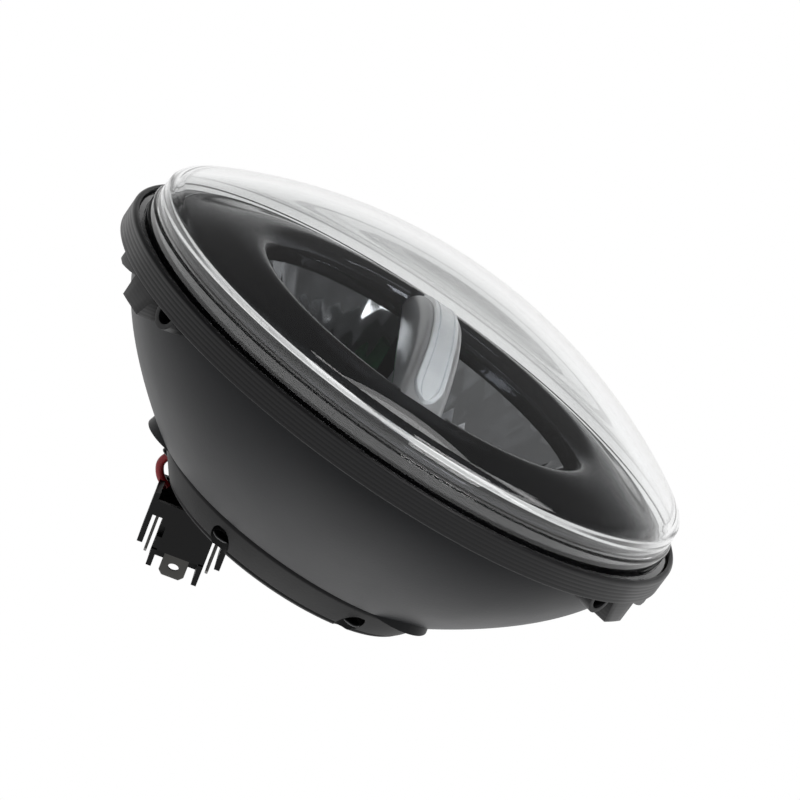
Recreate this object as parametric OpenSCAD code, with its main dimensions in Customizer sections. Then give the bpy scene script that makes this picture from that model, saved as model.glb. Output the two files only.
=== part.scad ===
// Round LED headlight for a motorbike, 7 inch flange size.
// Every lamp piece is drawn in the lamp's own frame: X along the centre bar, Y up, Z towards
// the road, with Z = 0 at the rear face of the mounting ring, where the lamp seats.
// lamp_frame() then stands it up: the lamp faces -Y and +Z is up.

/* [Mounting ring] */
// Diameter over the mounting ring
ring_d = 178; // [174:0.5:184]
// Thickness of the ring from front to back
ring_t = 7; // [6:0.5:9]
// Chamfer on the ring's front edge
ring_chamfer = 0.6; // [0.3:0.1:1]
// Depth of the locating lugs behind the ring
lug_depth = 7; // [4:0.5:10]
// Width of a locating lug round the ring
lug_w = 18; // [12:1:22]

/* [Housing] */
// Depth of the bowl behind the seat
bowl_depth = 42; // [38:1:50]
// Diameter of the bowl where it meets the ring
bowl_front_d = 164.6; // [162:0.2:166]
// Diameter of the bowl at its rear edge
bowl_rear_d = 98; // [94:1:104]
// How late the bowl curves in, 1 is a straight cone
bowl_power = 1.62; // [1.3:0.02:2]
// Thickness of the bowl's wall
bowl_wall = 2.8; // [2:0.1:4]
// Height of the dark collar that shows through the lens wall
collar_h = 10; // [8:0.5:11]
// Diameter of the rear opening that the heat sink's pedestal goes through
rear_hole_d = 72; // [70:1:73]

/* [Lens] */
// Height of the dome's crown above the seat
dome_h = 40.5; // [38:0.5:46]
// Radius of the dome's outer sphere
dome_r = 162; // [158:1:175]
// Thickness of the lens
lens_wall = 3; // [2.5:0.1:3.5]
// Height of the step in the lens wall above the seat
lens_step_h = 11; // [9.5:0.5:12]

/* [Bezel] */
// Diameter of the bezel's outer lip
bezel_d = 155; // [150:1:156]
// Height of the outer lip above the seat
bezel_lip_h = 12; // [10:0.5:13]
// Diameter of the round opening
opening_d = 100.6; // [94:0.2:104]
// Height of the opening's rim above the seat
opening_h = 15.5; // [14:0.5:18]
// Thickness of the bezel
bezel_wall = 1.8; // [1.5:0.1:2.5]

/* [Reflectors] */
// Focal length of the half bowls
focal = 18; // [17:0.5:22]
// Thickness of the reflector shell
reflector_wall = 1.8; // [1.5:0.1:2.5]
// Half of the gap between the two half bowls
split_gap = 3.4; // [3:0.1:5]

/* [Centre bar] */
// Width of the bar
bar_w = 13.5; // [11:0.5:18]
// Height of the bar's crown above the seat
bar_crown_h = 24; // [20:0.5:27]
// Width of the white light guide
guide_w = 6.6; // [4:0.2:8]
// How far the light guide stands out of the bar
guide_proud = 0.8; // [0.4:0.1:1.5]

/* [LED carrier] */
// Thickness of the aluminium carrier plate
carrier_t = 4; // [3:0.5:5]
// Width of the carrier plate
carrier_w = 40; // [30:1:46]
// Thickness of the circuit boards
board_t = 1.6; // [1:0.1:2]
// Width across one LED chip
chip_w = 3; // [2:0.5:4]
// LED chips in a row on each side
chip_count = 4; // [2:1:5]

/* [Heat sink] */
// Diameter of the heat sink's base
sink_d = 93; // [91:1:96]
// Thickness of the base
sink_t = 5; // [4:0.5:6.5]
// Height of the fins behind the base
fin_h = 6; // [4:0.5:6]
// Thickness of a fin
fin_t = 2; // [1.5:0.1:3]
// Distance from fin to fin
fin_pitch = 6; // [5:0.5:8]
// Diameter of the closing screws
screw_d = 3; // [2.5:0.5:3]
// Number of closing screws
screw_count = 6; // [4:1:8]

/* [Leads and plug] */
// Diameter of a lead
lead_d = 2.4; // [1.6:0.1:2.6]
// Width of the plug
plug_w = 23.2; // [21:0.2:26]
// Thickness of the plug
plug_t = 17; // [14:0.5:20]
// Thickness of a blade
blade_t = 0.8; // [0.6:0.1:1.2]
// Width of a blade
blade_w = 7.7; // [6.3:0.1:8]

/* [Hidden] */
$fn = 96;
clear = 0.2;
tiny = 0.01;

ring_r = ring_d / 2;
bowl_front_r = bowl_front_d / 2;
bowl_rear_r = bowl_rear_d / 2;
// The ring's lower half grips the housing's flange, and its upper half clears the lens foot.
flange_t = ring_t / 2;
flange_r = bowl_front_r + 1.4;
ring_grip_r = flange_r + clear / 2;
lens_foot_r = ring_r - 1.8;
ring_pocket_r = lens_foot_r + clear;
collar_r = bowl_front_r - 0.6;
collar_wall = 2.4;
gasket_t = 0.8;
lens_skirt_r = collar_r + clear + lens_wall + 0.4;
dome_centre = dome_h - dome_r;
step_in = 0.9;
shoulder_round = 3;

bezel_r = bezel_d / 2;
opening_r = opening_d / 2;
bezel_roll = 3.2;
bezel_foot_h = flange_t + clear / 2;
throat_h = opening_h - 7;
screw_ring_r = bezel_r - 5;

bowl_mouth_h = throat_h - clear;
reflector_r = opening_r + 1.2;
vertex_h = bowl_mouth_h - reflector_r * reflector_r / (4 * focal);
focus_h = vertex_h + focal;
ear_x = reflector_r + 5.5;
ear_y = split_gap + 5.5;
ear_r = 4.6;
ear_t = 2.4;

sink_front = -bowl_depth;
sink_rim = sink_front - sink_t;
fin_back = sink_rim - fin_h;
sink_r = sink_d / 2;
fin_reach = sink_r - 4.6;
fin_taper = 5.2;
pedestal_r = rear_hole_d / 2 - 1;
pedestal_h = 4;
pedestal_top = sink_front + pedestal_h;
rear_land_t = 3;
screw_r = screw_d / 2;
groove_r = rear_hole_d / 2 + 1.6;
screw_circle_r = groove_r + 1.1 + screw_r + 1.2;

board_lift = 3;
board_h = pedestal_top + board_lift;
board_r = rear_hole_d / 2 - 3;
carrier_front = 2;
guide_board_h = 6;
bar_end_x = opening_r - clear;
bar_end_h = opening_h + 0.6;
bar_rise = bar_crown_h - bar_end_h;
bar_arc_r = (bar_end_x * bar_end_x + bar_rise * bar_rise) / (2 * bar_rise);
bar_floor_h = carrier_front + clear / 2;
guide_len = 2 * bar_end_x - 8;
guide_depth = 3;

grommet_y = 10;
grommet_r = 6;
grommet_h = 6;
grommet_end = sink_rim - grommet_h;

// The plug hangs behind the lamp's lower half with its blades to the rear.
plug_y = 68.2;
plug_z = -25;
plug_tilt = 13;
plug_front = -10.5;
plug_back = 6.5;
blade_gap = 2.6;
guard_t = 1.8;
side_blade_y = plug_w / 2 - guard_t - blade_gap / 2;

// Routes of the leads in the standing frame, from the grommet to the plug.
red_route = [
    [-3, 53, 10], [-3, 56.2, 9.6], [-3.2, 58.4, 7.6], [-3.6, 58.8, 4], [-4, 57.4, 0],
    [-4, 55.2, -5], [-4, 53.2, -11], [-4, 51.8, -17], [-4, 50.8, -23], [-4, 50, -29],
    [-4, 49.4, -34], [-4, 49.4, -38], [-4, 50.8, -41.2], [-4, 54, -42.2],
    [-4, 57.2, -40.2], [-4, 59, -36.9]
];
black_route = [
    [0.4, 53, 7.4], [0.4, 55.8, 7], [0.3, 57.8, 5], [0.2, 58, 1.6], [0, 56.6, -2.4],
    [0, 54.6, -7.4], [0, 53.2, -13], [0, 52.8, -18.6], [0, 53.4, -23.4], [0, 55.2, -26.8],
    [0, 58.4, -28.6]
];
white_route = [
    [3.4, 53, 10], [3.4, 56.2, 9.4], [3.4, 58, 7], [3.6, 57.8, 3.4], [3.8, 56, -1],
    [4, 54, -6], [4, 52.4, -11], [4, 52.2, -15.6], [4, 53.4, -19.6], [4, 56.4, -22.2]
];

// Stands a lamp piece up: the lamp's Z turns to -Y, and its Y to +Z.
module lamp_frame() { rotate([90, 0, 0]) children(); }

// Copies a piece evenly round the lamp's axis.
module around(count, r, start = 0) {
    for (i = [0 : count - 1]) rotate(start + i * 360 / count) translate([r, 0, 0]) children();
}

// A pan-head screw whose head's underside is at the origin, with its shank along -Z.
module screw(r, length) {
    difference() {
        union() {
            cylinder(h = r * 1.1, r1 = r * 1.9, r2 = r * 1.6, $fn = 32);
            translate([0, 0, -length]) cylinder(h = length + tiny, r = r, $fn = 32);
        }
        for (turn = [0, 90])
            rotate(turn) translate([-r, -r * 0.18, r * 0.45]) cube([2 * r, r * 0.36, r]);
    }
}

// Radius of the bowl's outside at a depth behind the seat.
function bowl_radius(depth) =
    bowl_front_r - (bowl_front_r - bowl_rear_r) * pow(depth / bowl_depth, bowl_power);
bowl_steps = 14;
function bowl_edge(inset) = [
    for (i = [0 : bowl_steps])
        let (depth = bowl_depth * i / bowl_steps) [bowl_radius(depth) - inset, -depth]
];
function reversed(list) = [for (i = [len(list) - 1 : -1 : 0]) list[i]];

module bowl_solid() {
    rotate_extrude() polygon(concat([[0, 0]], bowl_edge(0.5), [[0, -bowl_depth]]));
}

module housing() color("#4a4c50") lamp_frame() {
    difference() {
        union() {
            rotate_extrude()
                polygon(concat(bowl_edge(0), reversed(bowl_edge(bowl_wall * 1.15))));
            // The flange under the lens, and the collar that stands up inside the lens wall.
            difference() {
                cylinder(h = flange_t, r = flange_r);
                translate([0, 0, -1]) cylinder(h = flange_t + 2, r = bowl_front_r - 9);
            }
            translate([0, 0, -1]) difference() {
                cylinder(h = collar_h + 1, r = collar_r);
                translate([0, 0, -1]) cylinder(h = collar_h + 3, r = collar_r - collar_wall);
            }
            // The rear land that the heat sink closes.
            translate([0, 0, -bowl_depth]) cylinder(h = rear_land_t, r = bowl_rear_r - 0.2);
            intersection() {
                bowl_solid();
                union() {
                    reflector_posts();
                    around(screw_count, screw_circle_r, 30)
                        translate([0, 0, -bowl_depth]) cylinder(h = 9, r = screw_r + 2.2);
                }
            }
            rear_bosses();
        }
        translate([0, 0, -bowl_depth - 1]) cylinder(h = rear_land_t + 2, r = rear_hole_d / 2);
        around(screw_count, screw_circle_r, 30)
            translate([0, 0, -bowl_depth - 1]) cylinder(h = 8, r = screw_r + 0.05, $fn = 32);
        for (x = [-1, 1], y = [-1, 1]) translate([x * ear_x, y * ear_y, post_top - 8])
            cylinder(h = 9, r = 1.5, $fn = 24);
        around(3, screw_ring_r, 90) translate([0, 0, flange_t - 3])
            cylinder(h = 4, r = 1.5, $fn = 24);
    }
}

post_top = bowl_mouth_h - ear_t - 2;
// Posts that carry the reflectors' ears.
module reflector_posts() {
    for (x = [-1, 1], y = [-1, 1]) translate([x * ear_x, y * ear_y, -bowl_depth])
        cylinder(h = bowl_depth + post_top, r = 4);
}

// Cast pads on the bowl's rear edge, one of them seen from below in the photo's view.
module rear_bosses() {
    for (turn = [45, 165, 285]) rotate(turn) intersection() {
        translate([bowl_rear_r - 3, -7, -bowl_depth]) cube([8, 14, 7]);
        translate([bowl_rear_r - 8.5, 0, -bowl_depth]) cylinder(h = 7, r = 10.5);
    }
}

module mounting_ring() color("#232427") lamp_frame() {
    rotate_extrude() polygon([
        [ring_grip_r, 0], [ring_r, 0], [ring_r, ring_t - ring_chamfer],
        [ring_r - ring_chamfer, ring_t], [ring_pocket_r, ring_t],
        [ring_pocket_r, flange_t], [ring_grip_r, flange_t]
    ]);
    for (turn = [-62, 62, 180]) rotate(turn) lug();
}

// A locating lug: a block with a chamfered back, and a low scooped tab beside it.
module lug() {
    lug_in = ring_grip_r + clear;
    root = 0.5;
    lug_out = ring_r - 1.2;
    intersection() {
        difference() {
            cylinder(h = 3 * lug_depth, r = lug_out, center = true);
            cylinder(h = 3 * lug_depth + 1, r = lug_in, center = true);
        }
        union() {
            rotate([90, 0, 90]) linear_extrude(ring_r) polygon([
                [-lug_w / 2, root], [-lug_w / 2 + 1, -lug_depth], [1, -lug_depth],
                [3, -lug_depth + 3], [3, root]
            ]);
            translate([0, 0, -lug_depth * 0.45]) rotate([0, 90, 0])
                translate([0, lug_w / 2 - 3.2, 0]) difference() {
                    cylinder(h = ring_r, r = 4.2, $fn = 40);
                    translate([-lug_depth * 0.45, 0, 0]) cylinder(h = 2 * ring_r, r = 2.6, $fn = 40);
                }
        }
        translate([0, -ring_r, -lug_depth]) cube([ring_r, ring_d, lug_depth + root]);
    }
}

// Radius at which a sphere about the dome's centre reaches a height.
function sphere_h(r, at) = dome_centre + sqrt(r * r - at * at);
dome_steps = 14;
function dome_edge(r, out) = [
    for (i = [0 : dome_steps])
        let (at = out * sqrt(i / dome_steps)) [at, sphere_h(r, at)]
];

module lens() color("#dfe6ea", 0.35) lamp_frame() {
    outer_r = lens_skirt_r;
    upper_r = outer_r - step_in;
    inner_r = outer_r - lens_wall;
    dome_edge_r = upper_r - 1.6;
    foot_h = flange_t + gasket_t;
    rotate_extrude() polygon(concat(
        dome_edge(dome_r, dome_edge_r),
        [
            [upper_r - 0.5, sphere_h(dome_r, dome_edge_r) - 1.4],
            [upper_r, sphere_h(dome_r, dome_edge_r) - shoulder_round],
            [upper_r + 0.1, lens_step_h + 0.3], [outer_r - 0.3, lens_step_h],
            [outer_r, lens_step_h - 0.4], [outer_r, ring_t - 0.6],
            [lens_foot_r, ring_t - 0.9], [lens_foot_r, foot_h], [inner_r, foot_h],
            [inner_r, sphere_h(dome_r, dome_edge_r) - lens_wall - 2],
            [inner_r - 1.2, sphere_h(dome_r, dome_edge_r) - lens_wall - 0.4]
        ],
        reversed(dome_edge(dome_r - lens_wall, inner_r - 2.4))
    ));
}

module lens_gasket() color("#111111") lamp_frame()
    translate([0, 0, flange_t]) difference() {
        cylinder(h = gasket_t, r = lens_foot_r);
        translate([0, 0, -1]) cylinder(h = gasket_t + 2, r = collar_r + clear);
    }

// The front face rises from the outer lip to a rolled rim round the opening.
module bezel() color("#3a3c42") lamp_frame() {
    w = bezel_wall;
    roll = bezel_roll;
    skirt_r = bezel_r + 0.6;
    crown = opening_h + 0.8;
    difference() {
        union() {
            rotate_extrude() polygon([
                [skirt_r, bezel_foot_h], [skirt_r, bezel_lip_h - 1.4],
                [skirt_r - 0.4, bezel_lip_h - 0.4], [bezel_r - 0.6, bezel_lip_h],
                [bezel_r - 8, bezel_lip_h + 1.7], [bezel_r - 15, crown - 0.5],
                [opening_r + roll + 2, crown], [opening_r + roll, crown - 0.2],
                [opening_r + 1.2, opening_h - 0.6], [opening_r + 0.2, opening_h - 2.6],
                [opening_r, opening_h - 4], [opening_r, throat_h],
                [opening_r + w, throat_h], [opening_r + w, opening_h - 4],
                [opening_r + roll + 0.6, crown - w - 0.4], [bezel_r - 15, crown - w - 0.5],
                [bezel_r - 8, bezel_lip_h + 1.7 - w], [skirt_r - w, bezel_lip_h - w],
                [skirt_r - w, bezel_foot_h]
            ]);
            intersection() {
                around(3, screw_ring_r, 90) translate([0, 0, bezel_foot_h])
                    cylinder(h = 2.4, r = 5.2, $fn = 40);
                translate([0, 0, bezel_foot_h]) cylinder(h = 3, r = skirt_r - w + tiny);
            }
        }
        around(3, screw_ring_r, 90) translate([0, 0, bezel_foot_h - 1])
            cylinder(h = 6, r = 1.8, $fn = 24);
    }
}

module bezel_screws() color("#8d9095") lamp_frame()
    around(3, screw_ring_r, 90) translate([0, 0, bezel_foot_h + 2.4]) screw(1.45, 5);

reflector_steps = 14;
function parabola(wall, out) = [
    for (i = [0 : reflector_steps])
        let (at = out * i / reflector_steps)
            [at, vertex_h - wall + at * at / (4 * focal)]
];

module half_bowl() {
    difference() {
        union() {
            rotate_extrude() polygon(concat(
                parabola(0, reflector_r),
                [[reflector_r + 3, bowl_mouth_h], [reflector_r + 3, bowl_mouth_h - 1.5]],
                reversed(parabola(reflector_wall, reflector_r))
            ));
            for (x = [-1, 1]) translate([x * ear_x, ear_y, post_top + tiny]) {
                cylinder(h = ear_t, r = ear_r, $fn = 40);
                translate([x > 0 ? -8.5 : 0, -3.4, 0]) cube([8.5, 6.8, ear_t]);
            }
        }
        translate([-100, -200 + split_gap, -100]) cube([200, 200, 200]);
        for (x = [-1, 1]) translate([x * ear_x, ear_y, post_top - 1])
            cylinder(h = ear_t + 3, r = 1.8, $fn = 24);
        rotate_extrude() polygon(concat(
            parabola(0, reflector_r), [[reflector_r, 100], [0, 100]]));
    }
}

module upper_reflector() color("#d7dade") lamp_frame() half_bowl();
module lower_reflector() color("#9b9ea3") lamp_frame() rotate(180) half_bowl();

module reflector_screws() color("#8d9095") lamp_frame()
    for (x = [-1, 1], y = [-1, 1])
        translate([x * ear_x, y * ear_y, post_top + ear_t + tiny]) screw(1.45, 6);

// The bar's side outline, arched in front, in X and Z.
module bar_side(inset = 0, floor_h = bar_floor_h) {
    intersection() {
        translate([0, bar_crown_h - bar_arc_r]) circle(r = bar_arc_r - inset, $fn = 240);
        translate([-bar_end_x + inset, floor_h]) square([2 * (bar_end_x - inset), bar_crown_h]);
    }
}

module across(w) { rotate([90, 0, 0]) linear_extrude(w, center = true) children(); }

module guide_outline(grow = 0) {
    half = guide_len / 2 + grow;
    side = guide_w / 2 + grow;
    polygon([
        [-half, 0], [-half + 5, side * 0.8], [-half + 9, side], [half - 9, side],
        [half - 5, side * 0.8], [half, 0], [half - 5, -side * 0.8], [half - 9, -side],
        [-half + 9, -side], [-half + 5, -side * 0.8]
    ]);
}

module centre_bar() color("#55585d") lamp_frame() {
    difference() {
        intersection() {
            across(bar_w) bar_side();
            // The crown narrows a little towards the front.
            rotate([90, 0, 90]) linear_extrude(2 * opening_d, center = true) polygon([
                [-bar_w / 2, -1], [bar_w / 2, -1], [bar_w / 2, bar_end_h - 1],
                [bar_w / 2 - 1.6, bar_crown_h], [-bar_w / 2 + 1.6, bar_crown_h],
                [-bar_w / 2, bar_end_h - 1]
            ]);
        }
        linear_extrude(60) guide_outline(clear);
        // The hollow that holds the light guide's board.
        translate([-bar_end_x + 6, -bar_w / 2 + 2, bar_floor_h - 1])
            cube([2 * bar_end_x - 12, bar_w - 4, guide_board_h - bar_floor_h + board_t + 3]);
        throat_relief();
        reflector_relief();
    }
}

// Keeps the bar's flat back clear of the round throat of the bezel.
module throat_relief() {
    difference() {
        translate([0, 0, -1]) cylinder(h = bar_end_h + 40, r = 2 * opening_r);
        translate([0, 0, -2]) cylinder(h = bar_end_h + 42, r = bar_end_x);
    }
}

// Keeps the bar clear of the half bowls where its ends dip into them.
module reflector_relief() {
    rotate_extrude() polygon(concat(
        parabola(-2 * clear, reflector_r + 1),
        [[reflector_r + 1, throat_h], [2 * opening_r, throat_h], [2 * opening_r, -bowl_depth],
         [0, -bowl_depth]]
    ));
}

module light_guide() color("#eef3f6") lamp_frame() {
    intersection() {
        linear_extrude(60) guide_outline();
        difference() {
            across(guide_w) difference() {
                translate([0, bar_crown_h - bar_arc_r])
                    circle(r = bar_arc_r + guide_proud, $fn = 240);
                translate([0, bar_crown_h - bar_arc_r - guide_depth])
                    circle(r = bar_arc_r, $fn = 240);
            }
            // The oval groove round the guide's face.
            linear_extrude(60) difference() {
                guide_outline(-1.5);
                guide_outline(-1.9);
            }
        }
    }
    translate([0, 0, guide_board_h + board_t + 1.2]) linear_extrude(bar_end_h - guide_board_h)
        square([guide_len - 24, 2.4], center = true);
}

module guide_board() color("#2f6b3c") lamp_frame()
    translate([0, 0, guide_board_h + board_t / 2])
        cube([2 * bar_end_x - 16, bar_w - 4 - 2 * clear, board_t], center = true);

module guide_chips() color("#f1e9b0") lamp_frame()
    for (i = [-3 : 3]) translate([i * 10, 0, guide_board_h + board_t + 0.5])
        cube([3, 2, 1], center = true);

// The plate that carries the LED boards, on a foot that stands on the heat sink.
module carrier() color("#b9bcc0") lamp_frame() {
    foot_t = 4;
    translate([-carrier_w / 2, -carrier_t / 2, pedestal_top])
        cube([carrier_w, carrier_t, carrier_front - pedestal_top]);
    translate([-carrier_w / 2, -carrier_t / 2 - 2.5, pedestal_top])
        cube([carrier_w, carrier_t + 5, foot_t - 2]);
    for (x = [-1, 1]) translate([x * carrier_screw_x, 0, pedestal_top]) difference() {
        cylinder(h = 2, r = 5, $fn = 40);
        translate([0, 0, -1]) cylinder(h = 4, r = 1.7, $fn = 24);
    }
}

module carrier_screws() color("#8d9095") lamp_frame()
    for (x = [-1, 1]) translate([x * carrier_screw_x, 0, pedestal_top + 2]) screw(1.45, 6);

board_l = 16;
module led_board() {
    translate([-carrier_w / 2 + 3, carrier_t / 2, focus_h - board_l / 2])
        cube([carrier_w - 6, board_t * 0.75, board_l]);
}
module chip_row() {
    pitch = chip_w + 0.6;
    for (i = [0 : chip_count - 1])
        translate([(i - (chip_count - 1) / 2) * pitch - chip_w / 2,
                   carrier_t / 2 + board_t * 0.75, focus_h - chip_w / 2])
            cube([chip_w, 0.7, chip_w]);
}
module upper_led_board() color("#3f8a55") lamp_frame() led_board();
module lower_led_board() color("#3f8a55") lamp_frame() rotate(180) led_board();
module upper_chips() color("#f2d24b") lamp_frame() chip_row();
module lower_chips() color("#f2d24b") lamp_frame() rotate(180) chip_row();

module driver_board() color("#2d6a45") lamp_frame()
    translate([0, 0, board_h]) difference() {
        cylinder(h = board_t, r = board_r);
        translate([-carrier_w / 2 - 10, -carrier_t / 2 - 4.5, -1])
            cube([carrier_w + 20, carrier_t + 9, board_t + 2]);
    }

module driver_parts() color("#3a3a3a") lamp_frame() {
    top = board_h + board_t;
    translate([-9, 17, top]) cylinder(h = 4, r = 5, $fn = 40);
    translate([6, 13, top]) cube([8, 8, 3]);
    translate([-18, -20, top]) cube([9, 7, 3]);
    translate([3, -18, top]) cylinder(h = 4.2, r = 3.2, $fn = 32);
    translate([12, -18, top]) cylinder(h = 4.2, r = 3.2, $fn = 32);
}

// The closing plate with its pedestal inside and its fins outside.
module heat_sink() color("#1b1c1e") lamp_frame() {
    difference() {
        union() {
            // Base with a bevelled edge and a fine step round it.
            rotate_extrude() polygon([
                [0, sink_front], [sink_r, sink_front], [sink_r, sink_front - 1.2],
                [sink_r - 0.8, sink_front - 1.4], [sink_r - 0.8, sink_front - 2.2],
                [sink_r - 3.4, sink_rim + 0.4], [sink_r - 4, sink_rim], [0, sink_rim]
            ]);
            translate([0, 0, sink_front - tiny]) cylinder(h = pedestal_h + tiny, r = pedestal_r);
            for (x = [-1, 1], y = [-1, 1])
                translate([x * 22, y * 22, pedestal_top - tiny])
                    cylinder(h = board_lift + tiny, r = 2.6, $fn = 32);
            fins();
            around(screw_count, screw_circle_r, 30) translate([0, 0, sink_rim - screw_pad])
                cylinder(h = screw_pad + 2, r = screw_r + 2.4);
        }
        around(screw_count, screw_circle_r, 30) {
            translate([0, 0, sink_rim - 10]) cylinder(h = 20 + sink_t, r = screw_r + 0.3);
        }
        // Way of the leads through the plate, and the seat of the breather.
        translate([0, grommet_y, sink_rim - 1]) cylinder(h = sink_t + pedestal_h + 2, r = 4.4);
        translate([breather_x, breather_y, sink_rim - 1])
            cylinder(h = sink_t + pedestal_h + 2, r = 2);
        for (x = [-1, 1]) translate([x * carrier_screw_x, 0, pedestal_top - 5])
            cylinder(h = 6, r = 1.5, $fn = 24);
        translate([0, 0, sink_front - seal_groove]) difference() {
            cylinder(h = 4, r = groove_r + 1.1);
            translate([0, 0, -1]) cylinder(h = 6, r = groove_r - 1.1);
        }
    }
}

breather_x = 21;
breather_y = -16;
seal_groove = 1.5;
channel_w = 15;
screw_pad = 1;
carrier_screw_x = carrier_w / 2 + 4;
module fins() {
    reach = fin_reach;
    count = floor(reach / fin_pitch);
    intersection() {
        translate([0, 0, fin_back]) cylinder(h = fin_h + 1, r1 = reach - fin_taper, r2 = reach);
        difference() {
            for (i = [-count : count])
                translate([i * fin_pitch - fin_t / 2, -reach, fin_back])
                    cube([fin_t, 2 * reach, fin_h + tiny]);
            // The leads' channel, the grommet's pad and the breather's pad stay open.
            translate([-channel_w / 2, -reach - 1, fin_back - 1])
                cube([channel_w, reach + 1, fin_h + 2]);
            translate([0, grommet_y, fin_back - 1]) cylinder(h = fin_h + 2, r = 11);
            translate([breather_x, breather_y, fin_back - 1]) cylinder(h = fin_h + 2, r = 9.5);
            around(screw_count, screw_circle_r, 30) translate([0, 0, fin_back - 1])
                cylinder(h = fin_h + 2, r = screw_r + 4);
        }
    }
}

module seal_ring() color("#7c2b22") lamp_frame()
    translate([0, 0, sink_front - seal_groove + 0.75])
        rotate_extrude() translate([groove_r, 0]) circle(r = 0.75, $fn = 24);

module sink_screws() color("#77797d") lamp_frame()
    around(screw_count, screw_circle_r, 30)
        translate([0, 0, sink_rim - screw_pad]) rotate([180, 0, 0])
            screw(screw_r - 0.05, sink_t + screw_pad + 5);

module breather() color("#2a2a2c") lamp_frame()
    translate([breather_x, breather_y, sink_rim]) rotate([180, 0, 0]) difference() {
        union() {
            cylinder(h = 3, r1 = 7, r2 = 6.2);
            translate([0, 0, -4]) cylinder(h = 4 + tiny, r = 1.9, $fn = 32);
        }
        for (turn = [0 : 45 : 315])
            rotate(turn) translate([4, -0.6, 2.2]) cube([4, 1.2, 2]);
    }

module grommet() color("#141414") lamp_frame()
    translate([0, grommet_y, sink_rim]) rotate([180, 0, 0]) difference() {
        union() {
            cylinder(h = 2, r = 8);
            translate([0, 0, 2 - tiny]) cylinder(h = grommet_h - 2, r1 = 7, r2 = grommet_r);
            translate([0, 0, -4]) cylinder(h = 4 + tiny, r = 4.3);
        }
        for (lead = [red_route[0], black_route[0], white_route[0]])
            translate([lead[0], grommet_y - lead[2], grommet_h - 0.3])
                cylinder(h = 1, r = lead_d / 2 + 0.2, $fn = 24);
    }

// A round tube along a route. The routes bend in planes of constant X, so X is always across.
module tube(route, d) {
    sides = 8;
    last = len(route) - 1;
    rings = [for (i = [0 : last])
        let (
            ahead = route[min(i + 1, last)] - route[max(i - 1, 0)],
            t = ahead / norm(ahead),
            n = cross(t, [1, 0, 0]) / norm(cross(t, [1, 0, 0])),
            b = cross(t, n)
        ) [for (k = [0 : sides - 1])
            route[i] + d / 2 * (cos(k * 360 / sides) * n + sin(k * 360 / sides) * b)]];
    points = [for (ring = rings) each ring];
    walls = [for (i = [0 : last - 1], k = [0 : sides - 1])
        let (a = i * sides + k, b = i * sides + (k + 1) % sides)
            [a, b, b + sides, a + sides]];
    polyhedron(points = points, faces = concat(
        walls, [[for (k = [sides - 1 : -1 : 0]) k]], [[for (k = [0 : sides - 1]) last * sides + k]]
    ), convexity = 4);
}

module red_lead() color("#b3202a") tube(red_route, lead_d);
module black_lead() color("#161616") tube(black_route, lead_d);
module white_lead() color("#d8d8d4") tube(white_route, lead_d);

// The plug's frame: its Z runs to the rear along the blades, its Y downwards.
module plug_frame() { translate([0, plug_y, plug_z]) rotate([plug_tilt - 90, 0, 0]) children(); }

module plug_body() color("#18181a") plug_frame() {
    core = plug_w - 2 * (guard_t + blade_gap);
    root = -1;
    difference() {
        union() {
            translate([-plug_t / 2, -plug_w / 2, plug_front])
                cube([plug_t, plug_w, root - plug_front]);
            translate([-plug_t / 2, -core / 2, root - tiny])
                cube([plug_t, core, plug_back - root + tiny]);
            for (side = [-1, 1]) translate([-plug_t / 2, side * (plug_w - guard_t) / 2, root - tiny])
                translate([0, -guard_t / 2, 0])
                    cube([plug_t * 0.82, guard_t, plug_back - root - (side < 0 ? 1.5 : 0)]);
            // The tongue behind the centre blade, with its two short arms.
            translate([-plug_t / 2 + 2, -core / 2 + 2.4, plug_back - tiny])
                cube([5, core - 5, 5]);
            translate([-plug_t / 2 + 2, -core / 2 + 2.4, plug_back - tiny]) cube([11, 2, 5]);
        }
        // Slots of the three blades.
        for (side = [-1, 1]) translate([0, side * side_blade_y, 2])
            cube([blade_w + 0.4, blade_t + 0.3, 20], center = true);
        translate([centre_blade_x, 0, 6]) cube([blade_t + 0.3, blade_w + 0.4, 12], center = true);
        // Wire entries and the open window beside them.
        for (route = [red_route, black_route, white_route]) entry_hole(route);
        translate([plug_t / 2 - 3, 3.4, plug_front + 1.6]) cube([4, 6.4, 5]);
    }
}

centre_blade_x = 4.6;
entry_depth = 1.5;
// A round pocket in the plug's front face where a lead ends.
module entry_hole(route) {
    end = route[len(route) - 1];
    y = (plug_z - end[2]) * cos(plug_tilt) + (end[1] - plug_y) * sin(plug_tilt);
    translate([end[0], y, plug_front - 1]) cylinder(h = entry_depth + 1, r = lead_d, $fn = 32);
}

// A flat blade with a chamfered tip and a slotted hole, lying in Y and Z.
module blade(back, front) {
    rotate([90, 0, 90]) linear_extrude(blade_t, center = true) difference() {
        polygon([
            [-blade_w / 2, front], [blade_w / 2, front], [blade_w / 2, back - 1.4],
            [blade_w / 2 - 1.2, back], [-blade_w / 2 + 1.2, back], [-blade_w / 2, back - 1.4]
        ]);
        hull() for (y = [-0.8, 0.8]) translate([y, back - 3.4]) circle(r = 0.8, $fn = 24);
    }
}

module centre_blade() color("#c9c6bd") plug_frame()
    translate([centre_blade_x, 0, 0]) blade(13.2, 0.4);
module left_blade() color("#c9c6bd") plug_frame()
    translate([0, side_blade_y, 0]) rotate(90) blade(8.8, -7.6);
module right_blade() color("#c9c6bd") plug_frame()
    translate([0, -side_blade_y, 0]) rotate(90) blade(8.8, -7.6);

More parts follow.
